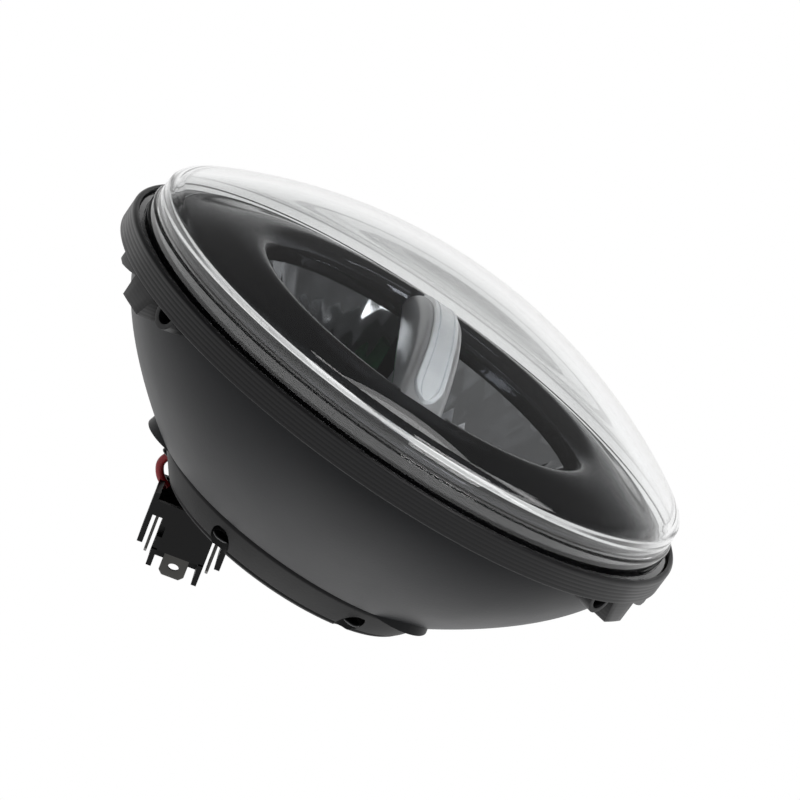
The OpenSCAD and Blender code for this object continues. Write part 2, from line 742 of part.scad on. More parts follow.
housing();
mounting_ring();
lens();
lens_gasket();
bezel();
bezel_screws();
upper_reflector();
lower_reflector();
reflector_screws();
centre_bar();
light_guide();
guide_board();
guide_chips();
carrier();
carrier_screws();
upper_led_board();
lower_led_board();
upper_chips();
lower_chips();
driver_board();
driver_parts();
heat_sink();
seal_ring();
sink_screws();
breather();
grommet();
red_lead();
black_lead();
white_lead();
plug_body();
centre_blade();
left_blade();
right_blade();
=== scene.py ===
import math

import bmesh
import bpy
from bpy.props import FloatProperty, FloatVectorProperty, IntProperty, PointerProperty
from mathutils import Matrix, Quaternion, Vector


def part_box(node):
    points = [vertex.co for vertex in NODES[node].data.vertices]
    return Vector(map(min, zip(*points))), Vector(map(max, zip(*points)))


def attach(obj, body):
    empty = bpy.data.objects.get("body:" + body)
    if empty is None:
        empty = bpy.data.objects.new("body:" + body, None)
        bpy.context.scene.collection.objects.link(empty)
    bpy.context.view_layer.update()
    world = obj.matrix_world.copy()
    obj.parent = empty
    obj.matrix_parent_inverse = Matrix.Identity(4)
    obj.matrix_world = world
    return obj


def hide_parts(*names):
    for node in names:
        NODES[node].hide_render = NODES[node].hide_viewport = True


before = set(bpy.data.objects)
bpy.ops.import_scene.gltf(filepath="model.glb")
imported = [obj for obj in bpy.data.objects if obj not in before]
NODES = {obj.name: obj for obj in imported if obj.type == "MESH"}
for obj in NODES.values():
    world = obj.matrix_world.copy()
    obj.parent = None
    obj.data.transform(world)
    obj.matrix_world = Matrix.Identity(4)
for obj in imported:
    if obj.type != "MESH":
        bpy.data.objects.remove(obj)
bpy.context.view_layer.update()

bl_info = {
    "name": "Round LED headlight",
    "version": (1, 0, 0),
    "blender": (4, 5, 0),
    "location": "View3D > Sidebar > Headlight",
    "description": "Dresses a round motorbike headlight: lens, bezel, reflectors, bowl, leads and stage",
    "category": "Object",
}

MM = 0.001
BODY = "root"
TURNS = 256


class LampShape(bpy.types.PropertyGroup):
    """Sizes of the lamp's turned pieces, from the seat at the ring's rear face"""
    dome_height: FloatProperty(
        name="Dome height", description="Crown of the dome above the seat",
        default=40.5 * MM, unit="LENGTH")
    dome_radius: FloatProperty(
        name="Dome radius", description="Radius of the dome's outer sphere",
        default=161.75 * MM, unit="LENGTH")
    lens_wall: FloatProperty(
        name="Lens wall", description="Thickness of the clear lens",
        default=3 * MM, unit="LENGTH")
    bowl_front: FloatProperty(
        name="Bowl front radius", description="Radius of the bowl at the ring",
        default=82.3 * MM, unit="LENGTH")
    bowl_rear: FloatProperty(
        name="Bowl rear radius", description="Radius of the bowl at its rear edge",
        default=49 * MM, unit="LENGTH")
    bowl_depth: FloatProperty(
        name="Bowl depth", description="Depth of the bowl behind the seat",
        default=42 * MM, unit="LENGTH")
    bowl_power: FloatProperty(
        name="Bowl power", description="How late the bowl curves in", default=1.62)
    focal_length: FloatProperty(
        name="Focal length", description="Focal length of the half bowls",
        default=18 * MM, unit="LENGTH")
    facet_rows: IntProperty(
        name="Facet rows", description="Rows of facets on a half bowl", default=7, min=1)
    facet_columns: IntProperty(
        name="Facet columns", description="Columns of facets on a half bowl", default=22, min=1)
    facet_relief: FloatProperty(
        name="Facet relief", description="How far a facet's middle stands out",
        default=0.3 * MM, unit="LENGTH")
    lead_diameter: FloatProperty(
        name="Lead diameter", description="Diameter of each lead",
        default=2.4 * MM, unit="LENGTH")


class LampFinish(bpy.types.PropertyGroup):
    """Colours of the lamp's finishes"""
    housing_colour: FloatVectorProperty(
        name="Housing", description="Textured powder coat of the bowl",
        subtype="COLOR", default=(0.035, 0.036, 0.0385))
    ring_colour: FloatVectorProperty(
        name="Ring", description="Matte black of the mounting ring",
        subtype="COLOR", default=(0.008, 0.008, 0.0088))
    bezel_colour: FloatVectorProperty(
        name="Bezel", description="Smoked chrome of the bezel",
        subtype="COLOR", default=(0.045, 0.047, 0.052))
    mirror_colour: FloatVectorProperty(
        name="Mirror", description="Vapour coat of the upper reflector",
        subtype="COLOR", default=(0.8, 0.81, 0.83))
    # The lower reflector has the mirror's own coat; its darker colour here is painted shade.
    shaded_mirror_colour: FloatVectorProperty(
        name="Mirror with painted shade", description="Vapour coat of the lower reflector",
        subtype="COLOR", default=(0.32, 0.33, 0.345))
    guide_colour: FloatVectorProperty(
        name="Light guide", description="Milky white of the light guide",
        subtype="COLOR", default=(0.86, 0.9, 0.95))
    red_colour: FloatVectorProperty(
        name="Red lead", description="Insulation of the red lead",
        subtype="COLOR", default=(0.42, 0.012, 0.02))


class StageLook(bpy.types.PropertyGroup):
    """Floor, lamps and camera"""
    floor_drop: FloatProperty(
        name="Floor drop", description="Depth of the floor under the lamp's axis",
        default=0.24, unit="LENGTH")
    world_strength: FloatProperty(
        name="World strength", description="Soft light from all round", default=0.16)
    room_level: FloatProperty(
        name="Room level", description="How light the front of the room is in reflections",
        default=0.12)
    key_power: FloatProperty(
        name="Key power", description="Power of the largest lamp in watts", default=3.0)
    lens_length: FloatProperty(
        name="Camera lens", description="Focal length on a 36 mm wide sensor", default=147.88)
    camera_roll: FloatProperty(
        name="Camera roll", description="Turn of the camera about its own axis",
        default=math.radians(-123.48), subtype="ANGLE")


# Mesh helpers. A turned piece's outline is a list of (radius, height) pairs, with the height
# measured forwards from the seat, along -Y.

def mesh_object(name, mesh, finish):
    """A piece with one finish, fixed to the lamp's body."""
    piece = bpy.data.objects.new(name, mesh)
    bpy.context.scene.collection.objects.link(piece)
    mesh.materials.clear()
    mesh.materials.append(finish_of(finish))
    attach(piece, BODY)
    return piece


def stands_for(piece, node):
    """The piece is shown in the node's place, and the node is hidden."""
    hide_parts(node)


def finish_mesh(bm, name, degrees=35):
    """A merged mesh with its faces outward and its curved faces smooth."""
    bmesh.ops.remove_doubles(bm, verts=bm.verts, dist=1e-6)
    mesh = plain_mesh(bm, name)
    smooth(mesh, degrees)
    return mesh


def plain_mesh(bm, name):
    """The finished mesh, with its faces turned outward."""
    bmesh.ops.recalc_face_normals(bm, faces=bm.faces)
    mesh = bpy.data.meshes.new(name)
    bm.to_mesh(mesh)
    bm.free()
    return mesh


def turned(outline, closed=True):
    """Spins an outline about the lamp's axis; a point at radius 0 becomes a pole."""
    bm = bmesh.new()
    angles = [math.tau * i / TURNS for i in range(TURNS)]
    rings = []
    for radius, height in outline:
        ring = angles if radius > 1e-7 else angles[:1]
        rings.append([bm.verts.new(
            (radius * math.cos(angle), -height, radius * math.sin(angle))) for angle in ring])
    pairs = list(zip(rings, rings[1:]))
    if closed:
        pairs.append((rings[-1], rings[0]))
    for a, b in pairs:
        if len(a) == 1 and len(b) == 1:
            continue
        for i in range(TURNS):
            j = (i + 1) % TURNS
            corners = [a[i % len(a)], a[j % len(a)], b[j % len(b)], b[i % len(b)]]
            unique = list(dict.fromkeys(corners))
            if len(unique) > 2:
                bm.faces.new(unique)
    return bm


def filleted(corners, steps=5):
    """Rounds the corners (radius, height, fillet) of a closed outline."""
    points = []
    count = len(corners)
    for i, (x, y, fillet) in enumerate(corners):
        here = Vector((x, y))
        if fillet <= 0:
            points.append((x, y))
            continue
        back = (Vector(corners[i - 1][:2]) - here)
        ahead = (Vector(corners[(i + 1) % count][:2]) - here)
        reach = min(fillet, back.length * 0.48, ahead.length * 0.48)
        start = here + back.normalized() * reach
        end = here + ahead.normalized() * reach
        for k in range(steps + 1):
            t = k / steps
            point = start.lerp(here, t).lerp(here.lerp(end, t), t)
            points.append((point.x, point.y))
    return points


def curve_through(points, steps=6):
    """A smooth line through the given points, which it keeps."""
    line = []
    last = len(points) - 1
    for i in range(last):
        p0, p1 = Vector(points[max(i - 1, 0)]), Vector(points[i])
        p2, p3 = Vector(points[i + 1]), Vector(points[min(i + 2, last)])
        for k in range(steps):
            t = k / steps
            line.append(tuple(0.5 * (
                2 * p1 + (p2 - p0) * t + (2 * p0 - 5 * p1 + 4 * p2 - p3) * t * t
                + (3 * p1 - p0 - 3 * p2 + p3) * t ** 3)))
    line.append(tuple(points[-1]))
    return line


def thickened(line, wall):
    """Closes an open outline by a second line a wall behind it."""
    back = []
    for i, point in enumerate(line):
        ahead = Vector(line[min(i + 1, len(line) - 1)]) - Vector(line[max(i - 1, 0)])
        normal = Vector((-ahead.y, ahead.x)).normalized()
        back.append(tuple(Vector(point) + normal * wall))
    return list(line) + back[::-1]


def applied(piece):
    """Turns a piece with modifiers into a plain mesh."""
    depsgraph = bpy.context.evaluated_depsgraph_get()
    final = bpy.data.meshes.new_from_object(piece.evaluated_get(depsgraph))
    piece.modifiers.clear()
    piece.data = final
    return final


def combined(piece, tool_mesh, operation):
    """Adds a closed mesh to a piece, or cuts it out of it."""
    tool = bpy.data.objects.new("tool", tool_mesh)
    bpy.context.scene.collection.objects.link(tool)
    change = piece.modifiers.new("Change", "BOOLEAN")
    change.operation = operation
    change.object = tool
    change.solver = "EXACT"
    applied(piece)
    bpy.data.objects.remove(tool)


def smooth(mesh, degrees):
    mesh.shade_smooth()
    mesh.set_sharp_from_angle(angle=math.radians(degrees))


def merged(node):
    """A merged copy of a CAD node's triangles."""
    bm = bmesh.new()
    bm.from_mesh(NODES[node].data)
    bmesh.ops.remove_doubles(bm, verts=bm.verts, dist=2e-6)
    bmesh.ops.dissolve_limit(
        bm, angle_limit=math.radians(0.6), verts=bm.verts, edges=bm.edges)
    return bm


def softened(bm, name, finish, bevel, segments=2, degrees=28):
    """A piece whose edges are rounded and whose curved faces are smooth."""
    piece = mesh_object(name, plain_mesh(bm, name), finish)
    round_edges(piece, bevel, segments, degrees, 38)
    return piece


def round_edges(piece, bevel, segments=2, degrees=30, soft=35):
    """Rounds the edges sharper than an angle."""
    rounding = piece.modifiers.new("Rounded edges", "BEVEL")
    rounding.width = bevel
    rounding.segments = segments
    rounding.limit_method = "ANGLE"
    rounding.angle_limit = math.radians(degrees)
    smooth(applied(piece), soft)


def softened_copy(node, name, finish, bevel):
    """A copy of a CAD node with its edges rounded and its curved faces smooth."""
    stands_for(softened(merged(node), name, finish, bevel), node)


# Node tree helpers.

class Term:
    """A value of a node tree that takes part in formulas; every step is a Math node."""

    def __init__(self, tree, socket):
        self.tree = tree
        self.socket = socket

    def __add__(self, other):
        return calculated(self.tree, "ADD", self, other)

    def __sub__(self, other):
        return calculated(self.tree, "SUBTRACT", self, other)

    def __rsub__(self, other):
        return calculated(self.tree, "SUBTRACT", other, self)

    def __mul__(self, other):
        return calculated(self.tree, "MULTIPLY", self, other)

    def __truediv__(self, other):
        return calculated(self.tree, "DIVIDE", self, other)


def connect(tree, value, socket):
    """Gives a socket its value: a term, another socket or a constant."""
    if isinstance(value, Term):
        value = value.socket
    if isinstance(value, bpy.types.NodeSocket):
        tree.links.new(value, socket)
    else:
        socket.default_value = value


def calculated(tree, operation, *values):
    node = tree.nodes.new("ShaderNodeMath")
    node.operation = operation
    for socket, value in zip(node.inputs, values):
        connect(tree, value, socket)
    return Term(tree, node.outputs[0])


def add_node(tree, kind, settings=None, output=0, **values):
    """A node whose inputs are named in values, and the term of one of its outputs."""
    node = tree.nodes.new(kind)
    for name, value in (settings or {}).items():
        setattr(node, name, value)
    for name, value in values.items():
        socket = node.inputs[name.replace("_", " ")]
        for item in value if isinstance(value, list) else [value]:
            connect(tree, item, socket)
    return Term(tree, node.outputs[output])


class Growth:
    """A Geometry Nodes tree that is built line by line, with named inputs."""

    def __init__(self, name, inputs):
        self.tree = bpy.data.node_groups.new(name, "GeometryNodeTree")
        new_socket = self.tree.interface.new_socket
        for in_out in ("INPUT", "OUTPUT"):
            new_socket(name="Geometry", in_out=in_out, socket_type="NodeSocketGeometry")
        kinds = {float: "NodeSocketFloat", int: "NodeSocketInt"}
        for title, default in inputs.items():
            socket = new_socket(name=title, in_out="INPUT", socket_type=kinds[type(default)])
            socket.default_value = default
        new_socket(name="Material", in_out="INPUT", socket_type="NodeSocketMaterial")
        given = self.tree.nodes.new("NodeGroupInput").outputs
        self.geometry = given["Geometry"]
        self.material = given["Material"]
        self.given = [Term(self.tree, given[title]) for title in inputs]

    def node(self, kind, settings=None, output=0, **values):
        return add_node(self.tree, kind, settings, output, **values)

    def maths(self, operation, *values):
        return calculated(self.tree, operation, *values)

    def vector(self, x=0.0, y=0.0, z=0.0):
        return self.node("ShaderNodeCombineXYZ", X=x, Y=y, Z=z)

    def axis(self, name):
        """One axis of the place of each point."""
        place = self.node("GeometryNodeInputPosition")
        return self.node("ShaderNodeSeparateXYZ", output=name, Vector=place)

    def moved(self, geometry, **values):
        return self.node("GeometryNodeTransform", Geometry=geometry, **values)

    def finish(self, geometry):
        """Real geometry with its material."""
        real = self.node("GeometryNodeRealizeInstances", Geometry=geometry)
        painted = self.node("GeometryNodeSetMaterial", Geometry=real, Material=self.material)
        connect(self.tree, painted, self.tree.nodes.new("NodeGroupOutput").inputs[0])
        return self.tree


def grown(piece, tree, **values):
    """Runs a tree on a piece with the given inputs and keeps the plain mesh."""
    values["Material"] = piece.data.materials[0]
    modifier = piece.modifiers.new(tree.name, "NODES")
    modifier.node_group = tree
    for socket in tree.interface.items_tree:
        if socket.item_type == "SOCKET" and socket.in_out == "INPUT" and socket.name in values:
            modifier[socket.identifier] = values[socket.name]
    return applied(piece)


def lead_tree():
    """A round wire that follows a line of edges."""
    growth = Growth("Lead along a path", {"Radius": 0.0012, "Sides": 20})
    radius, sides = growth.given
    line = growth.node("GeometryNodeMeshToCurve", Mesh=growth.geometry)
    section = growth.node("GeometryNodeCurvePrimitiveCircle", Resolution=sides, Radius=radius)
    wire = growth.node(
        "GeometryNodeCurveToMesh", Curve=line, Profile_Curve=section, Fill_Caps=True)
    return growth.finish(growth.node("GeometryNodeSetShadeSmooth", Geometry=wire))


def half_bowl_tree():
    """Half a parabolic bowl with pillow facets in rings, and a flange round its mouth."""
    growth = Growth("Faceted half bowl", {
        "Side": 1.0, "Focal": 0.018, "Mouth": 0.0083, "Start": 0.007, "Rim": 0.0515,
        "Gap": 0.0034, "Flange": 0.003, "Rows": 8, "Columns": 24, "Relief": 0.0002})
    side, focal, mouth, start, rim, gap, flange, rows, columns, relief = growth.given
    fine = 6
    along = rows * fine + 2
    grid = growth.node(
        "GeometryNodeMeshGrid", Size_X=1.0, Size_Y=1.0, Vertices_X=along,
        Vertices_Y=columns * fine + 1)
    last = along - 1
    step = (growth.axis("X") + 0.5) * last
    on_flange = growth.maths("GREATER_THAN", step, last - 0.5)
    level = growth.maths("MINIMUM", step / fine, rows)
    radius = start + level / rows * (rim - start)
    turn = growth.axis("Y") + 0.5
    edge = growth.maths("ARCSINE", gap / radius)
    angle = edge + (math.pi - edge * 2) * turn

    def pillow(count):
        """1 in the middle of a facet and 0 at its edges."""
        part = growth.maths("FRACT", count + 0.0001)
        return part * (1 - part) * 4

    bulge = pillow(level) * pillow(turn * columns) * relief
    depth = (rim * rim - radius * radius) / (focal * 4)
    height = mouth - depth + bulge
    reach = radius + on_flange * flange
    spot = growth.vector(
        reach * growth.maths("COSINE", angle), height * -1,
        reach * growth.maths("SINE", angle) * side)
    return growth.finish(growth.node("GeometryNodeSetPosition", Geometry=grid, Position=spot))


def fins_tree():
    """Parallel fins cut to a circle's chords."""
    growth = Growth("Fins in a circle", {
        "Count": 13, "Pitch": 0.006, "Thickness": 0.002, "Reach": 0.037, "Depth": 0.0055,
        "Front": 0.047})
    count, pitch, thickness, reach, depth, front = growth.given
    start = (count - 1) * (pitch * 0.5) * -1
    row = growth.node(
        "GeometryNodeMeshLine", Count=count, Start_Location=growth.vector(start),
        Offset=growth.vector(pitch))
    outer = growth.maths("ABSOLUTE", growth.axis("X")) + thickness * 0.5
    chord = growth.maths(
        "SQRT", growth.maths("MAXIMUM", reach * reach - outer * outer, 0.000001))
    block = growth.node("GeometryNodeMeshCube", Size=(1.0, 1.0, 1.0))
    fins = growth.node(
        "GeometryNodeInstanceOnPoints", Points=row, Instance=block,
        Scale=growth.vector(thickness, depth, chord * 2))
    return growth.finish(growth.moved(fins, Translation=growth.vector(y=front + depth * 0.5)))


def screws_tree():
    """Pan-head screws with a cross recess, evenly round a circle, seen from behind."""
    growth = Growth("Screws round a circle", {
        "Count": 4, "Circle": 0.042, "Start": 0.436, "Seat": 0.048, "Head": 0.0028,
        "Rise": 0.0018})
    count, circle, start, seat, head, rise = growth.given
    drum = growth.node("GeometryNodeMeshCylinder", Vertices=32, Radius=head, Depth=rise)
    dome = growth.node("GeometryNodeMeshUVSphere", Segments=32, Rings=16, Radius=head)
    flat = growth.moved(
        dome, Translation=growth.vector(z=rise * 0.49), Scale=(1.0, 1.0, 0.3))
    whole = growth.node(
        "GeometryNodeMeshBoolean", {"operation": "UNION"}, Mesh_2=[drum, flat])
    long_side, short_side = head * 1.15, head * 0.28
    slots = []
    for across, along in ((long_side, short_side), (short_side, long_side)):
        slot = growth.node("GeometryNodeMeshCube", Size=growth.vector(across, along, rise))
        slots.append(growth.moved(slot, Translation=growth.vector(z=rise * 0.9)))
    cross = growth.node("GeometryNodeJoinGeometry", Geometry=slots)
    cut = growth.node(
        "GeometryNodeMeshBoolean", {"operation": "DIFFERENCE"}, Mesh_1=whole, Mesh_2=cross)
    places = growth.moved(
        growth.node("GeometryNodeMeshCircle", Vertices=count, Radius=circle),
        Rotation=growth.vector(z=start))
    screws = growth.node("GeometryNodeInstanceOnPoints", Points=places, Instance=cut)
    return growth.finish(growth.moved(
        screws, Translation=growth.vector(y=seat + rise * 0.5),
        Rotation=(-math.pi / 2, 0.0, 0.0)))


# Material helpers.

def new_material(name, **values):
    """A Principled material; every keyword is one of the shader's own sockets."""
    material = bpy.data.materials.new(name)
    material.use_nodes = True
    shader = material.node_tree.nodes["Principled BSDF"]
    for socket, value in values.items():
        title = socket.replace("_", " ").title().replace("Ior", "IOR")
        if title == "Base Color":
            value = (*value, 1.0)
        shader.inputs[title].default_value = value
    return material, material.node_tree, shader


def object_coordinates(tree):
    """The place on the piece in its own coordinates."""
    return add_node(tree, "ShaderNodeTexCoord", output="Object")


def noise(tree, scale, detail):
    """Cloudy noise over the piece, in features per metre."""
    return add_node(
        tree, "ShaderNodeTexNoise", output="Fac", Vector=object_coordinates(tree), Scale=scale,
        Detail=detail, Roughness=0.55)


def remap(tree, value, low, high):
    """Spreads a texture's 0.3 to 0.7 over a range of values."""
    return add_node(
        tree, "ShaderNodeMapRange", output="Result", Value=value, From_Min=0.3, From_Max=0.7,
        To_Min=low, To_Max=high)


def tint(tree, shader, value, dark, light):
    """Colours a surface between two colours by a texture's 0.3 to 0.7."""
    ramp = tree.nodes.new("ShaderNodeValToRGB")
    for element, position, colour in zip(ramp.color_ramp.elements, (0.3, 0.7), (dark, light)):
        element.position = position
        element.color = (*colour, 1)
    connect(tree, value, ramp.inputs["Fac"])
    connect(tree, ramp.outputs["Color"], shader.inputs["Base Color"])


def bump(tree, shader, value, strength, distance):
    """Fine relief by a texture's value."""
    normal = add_node(
        tree, "ShaderNodeBump", Strength=strength, Distance=distance, Height=value)
    connect(tree, normal, shader.inputs["Normal"])


def shade(colour, factor):
    """A colour made darker or lighter."""
    return tuple(min(1.0, channel * factor) for channel in colour)


def uneven(tree, shader, texture, colour, roughness, shades, share):
    """Varies a surface's colour between two shades, and its roughness by a share."""
    tint(tree, shader, texture, shade(colour, shades[0]), shade(colour, shades[1]))
    rough = remap(tree, texture, roughness * (1 - share), roughness * (1 + share))
    connect(tree, rough, shader.inputs["Roughness"])


def grained(name, colour, roughness, grain, relief, metallic=0.0, strength=0.5, spread=0.12,
            gloss=0.5):
    """A coated or moulded surface: fine grain, uneven shine and slightly uneven colour."""
    material, tree, shader = new_material(
        name, metallic=metallic, roughness=roughness, specular_ior_level=gloss)
    uneven(tree, shader, noise(tree, 28, 3), colour, roughness, (1 - spread, 1 + spread), 0.12)
    bump(tree, shader, noise(tree, grain, 3), strength, relief)
    return material


def polished(name, colour, roughness, rim):
    """A mirror or chrome coat with a faint haze; rim dims it where it is seen edge on."""
    material, tree, shader = new_material(name, metallic=1.0, roughness=roughness)
    shader.inputs["Specular Tint"].default_value = (rim, rim, rim, 1)
    uneven(tree, shader, noise(tree, 60, 4), colour, roughness, (0.95, 1.05), 0.2)
    return material


def ridged(name, colour, roughness, pitch, relief):
    """A turned surface whose fine tool lines run round the lamp's axis."""
    material, tree, shader = new_material(
        name, roughness=roughness, specular_ior_level=0.3)
    lines = add_node(
        tree, "ShaderNodeTexWave", {"wave_type": "BANDS", "bands_direction": "Y"}, "Fac",
        Vector=object_coordinates(tree), Scale=math.tau / pitch / 20, Distortion=0.0)
    uneven(tree, shader, noise(tree, 40, 3), colour, roughness, (0.85, 1.2), 0.15)
    bump(tree, shader, lines, 0.2, relief)
    return material


def clear_material():
    """Clear plastic with very faint clouds in its colour."""
    material, tree, shader = new_material(
        "Clear polycarbonate", base_color=(0.985, 0.99, 0.99), roughness=0.0,
        transmission_weight=1.0, ior=1.5)
    tint(tree, shader, noise(tree, 12, 2), (0.975, 0.985, 0.985), (0.99, 0.995, 0.995))
    return material


def guide_material(colour):
    """Milky plastic that light goes into."""
    material, tree, shader = new_material(
        "Milky light guide", roughness=0.2, coat_weight=0.3, subsurface_weight=0.5,
        subsurface_scale=0.002)
    shader.inputs["Subsurface Radius"].default_value = (1.0, 1.0, 1.0)
    tint(tree, shader, noise(tree, 120, 3), shade(colour, 0.96), shade(colour, 1.04))
    return material


def board_material():
    """Green solder mask with faint copper tracks under it."""
    material, tree, shader = new_material("Circuit board", roughness=0.35, coat_weight=0.3)
    tracks = tree.nodes.new("ShaderNodeTexBrick")
    for title, value in {
            "Scale": 240, "Mortar Size": 0.09, "Color1": (0.012, 0.11, 0.04, 1),
            "Color2": (0.015, 0.13, 0.05, 1), "Mortar": (0.03, 0.2, 0.07, 1),
            "Vector": object_coordinates(tree)}.items():
        connect(tree, value, tracks.inputs[title])
    connect(tree, tracks.outputs["Color"], shader.inputs["Base Color"])
    bump(tree, shader, tracks.outputs["Fac"], 0.2, 0.00005)
    return material


def build_materials(finish):
    """Every finish of the lamp, by its plain name."""
    coats = {
        "housing": ("Textured powder coat", finish.housing_colour, 0.42, 1500, 0.08,
                    {"strength": 0.35, "spread": 0.08, "gloss": 0.12}),
        "gloss_black": ("Glossy black collar", (0.006, 0.006, 0.0065), 0.12, 60, 0.02,
                        {"strength": 0.1}),
        "bar": ("Satin smoked coat", (0.4, 0.405, 0.415), 0.34, 2200, 0.03,
                {"metallic": 0.35, "strength": 0.15}),
        "chip": ("Yellow phosphor", (0.85, 0.62, 0.08), 0.5, 2500, 0.03, {}),
        "aluminium": ("Bare aluminium", (0.42, 0.43, 0.45), 0.33, 1800, 0.04,
                      {"metallic": 1.0, "strength": 0.3}),
        "cast_black": ("Black cast coat", (0.004, 0.004, 0.0045), 0.5, 1300, 0.1,
                       {"strength": 0.4, "gloss": 0.15}),
        "rubber": ("Black rubber", (0.008, 0.008, 0.009), 0.6, 1600, 0.08, {"gloss": 0.3}),
        "seal": ("Red silicone", (0.2, 0.02, 0.015), 0.55, 1500, 0.05, {}),
        "black_plastic": ("Black moulded nylon", (0.003, 0.003, 0.0034), 0.4, 1700, 0.05,
                          {"strength": 0.35, "gloss": 0.2}),
        "parts": ("Moulded components", (0.02, 0.02, 0.022), 0.45, 1500, 0.05, {}),
        "zinc": ("Zinc plated steel", (0.4, 0.4, 0.42), 0.32, 2600, 0.03,
                 {"metallic": 1.0, "strength": 0.25}),
        "black_screw": ("Black zinc", (0.015, 0.015, 0.017), 0.35, 2400, 0.03,
                        {"metallic": 0.6, "gloss": 0.4}),
        # Tin plated brass, with its colour set far darker than tin's own: painted shade.
        "shaded_tin": ("Tin plated brass, painted shade", (0.06, 0.059, 0.056), 0.3, 2400, 0.03,
                {"metallic": 1.0, "strength": 0.3}),
        "red_lead": ("Red insulation", finish.red_colour, 0.42, 1800, 0.03, {}),
        "black_lead": ("Black insulation", (0.01, 0.01, 0.011), 0.42, 1800, 0.03, {}),
        "white_lead": ("White insulation", (0.6, 0.6, 0.57), 0.42, 1800, 0.03, {}),
    }
    materials = {
        name: grained(title, colour, roughness, grain, relief * MM, **options)
        for name, (title, colour, roughness, grain, relief, options) in coats.items()}
    materials["ring"] = ridged("Turned black ring", finish.ring_colour, 0.42, 1.1 * MM, 0.08 * MM)
    materials["lens"] = clear_material()
    materials["bezel"] = polished("Smoked chrome", finish.bezel_colour, 0.06, 0.55)
    materials["mirror"] = polished("Vapour mirror", finish.mirror_colour, 0.04, 1.0)
    # The lower half bowl: the mirror coat made darker and rougher, as painted shade.
    materials["shaded_mirror"] = polished(
        "Vapour mirror with painted shade", finish.shaded_mirror_colour, 0.1, 0.6)
    materials["guide"] = guide_material(finish.guide_colour)
    materials["board"] = board_material()
    return materials


MATERIALS = {}


def finish_of(name):
    """The finish of this name; all are made when the first is asked for."""
    if not MATERIALS:
        MATERIALS.update(build_materials(bpy.context.scene.lamp_finish))
    return MATERIALS[name]


def finish_node(node, finish):
    """Gives a CAD node whose shape is right its finish."""
    slots = NODES[node].data.materials
    slots.clear()
    slots.append(finish_of(finish))


# Places round the lamp's axis, in degrees: each lug with the side its tab is on, and the pads.
LUG_TURNS = ((-58.6, 1), (58.6, -1), (180, 1))
PAD_TURNS = (42, 162, 282)
SINK_SCREWS = {"count": 6, "circle": 41.4 * MM, "start": math.radians(30)}


# Turned pieces.

def dome_height_at(shape, radius, inset):
    """Height of the dome, or of its inner side, at a radius."""
    sphere = shape.dome_radius - inset
    centre = shape.dome_height - shape.dome_radius
    return centre + math.sqrt(sphere * sphere - radius * radius)


def lens_outline(shape):
    """The lens: a domed cap with a rounded shoulder, an upright skirt and a foot."""
    foot = -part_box("lens")[1][1]
    foot_top = 6.1 * MM
    skirt = 85.3 * MM
    upper = skirt - 0.9 * MM
    inner = skirt - shape.lens_wall
    rim = upper - 2.2 * MM
    steps = 40

    def cap(reach, inset):
        """A spherical cap's outline from the axis out to a radius."""
        radii = [reach * math.sin(i / steps * math.pi / 2) for i in range(steps + 1)]
        return [(radius, dome_height_at(shape, radius, inset)) for radius in radii]

    dome, hollow = cap(rim, 0), cap(inner - 3 * MM, shape.lens_wall)
    rim_height = dome[-1][1]
    wall = filleted([
        (*dome[-1], 0),
        (upper - 0.1 * MM, rim_height - 1.5 * MM, 2.4 * MM),
        (upper + 0.1 * MM, 11.0 * MM, 0.4 * MM),
        (skirt, 10.9 * MM, 0.5 * MM),
        (skirt, foot_top, 0.3 * MM),
        (87.1 * MM, foot_top - 0.1 * MM, 0.4 * MM),
        (87.1 * MM, foot, 0.1 * MM),
        (inner, foot, 0.1 * MM),
        (inner, hollow[-1][1] - 2.2 * MM, 2.4 * MM),
        (*hollow[-1], 0),
    ])
    return dome + wall[1:-1] + hollow[::-1]


def bezel_outline():
    """The bezel: an upright wall, a sloping face and a lip that rolls into the opening."""
    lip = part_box("bezel")[1][0]
    opening = 50.3 * MM
    face = curve_through([
        (lip, 3.7 * MM), (lip, 7 * MM), (lip - 0.05 * MM, 10.2 * MM),
        (lip - 0.5 * MM, 11.6 * MM), (lip - 1.6 * MM, 12.05 * MM), (lip - 3.4 * MM, 12.1 * MM),
        (lip - 8 * MM, 13.2 * MM), (lip - 15 * MM, 15.2 * MM), (opening + 7.5 * MM, 16.1 * MM),
        (opening + 4.6 * MM, 16.15 * MM), (opening + 2.4 * MM, 15.5 * MM),
        (opening + 0.8 * MM, 13.9 * MM), (opening + 0.1 * MM, 12 * MM),
        (opening, 10 * MM), (opening, 8.6 * MM)], steps=5)
    return thickened(face, 1.6 * MM)


def ring_outline():
    """The mounting ring with five fine lines turned in its rim."""
    outer = 89 * MM
    grip, pocket = 83.8 * MM, 87.4 * MM
    thickness, flange = 7 * MM, 3.5 * MM
    corners = [(grip, 0, 0.2 * MM), (outer, 0, 0.3 * MM)]
    for k in range(1, 6):
        at = thickness * k / 6.4
        corners += [
            (outer, at - 0.12 * MM, 0), (outer - 0.05 * MM, at, 0), (outer, at + 0.12 * MM, 0)]
    corners += [
        (outer, thickness - 0.6 * MM, 0.3 * MM), (outer - 0.6 * MM, thickness, 0.3 * MM),
        (pocket, thickness, 0.15 * MM), (pocket, flange, 0.1 * MM), (grip, flange, 0.1 * MM)]
    return filleted(corners, steps=3)


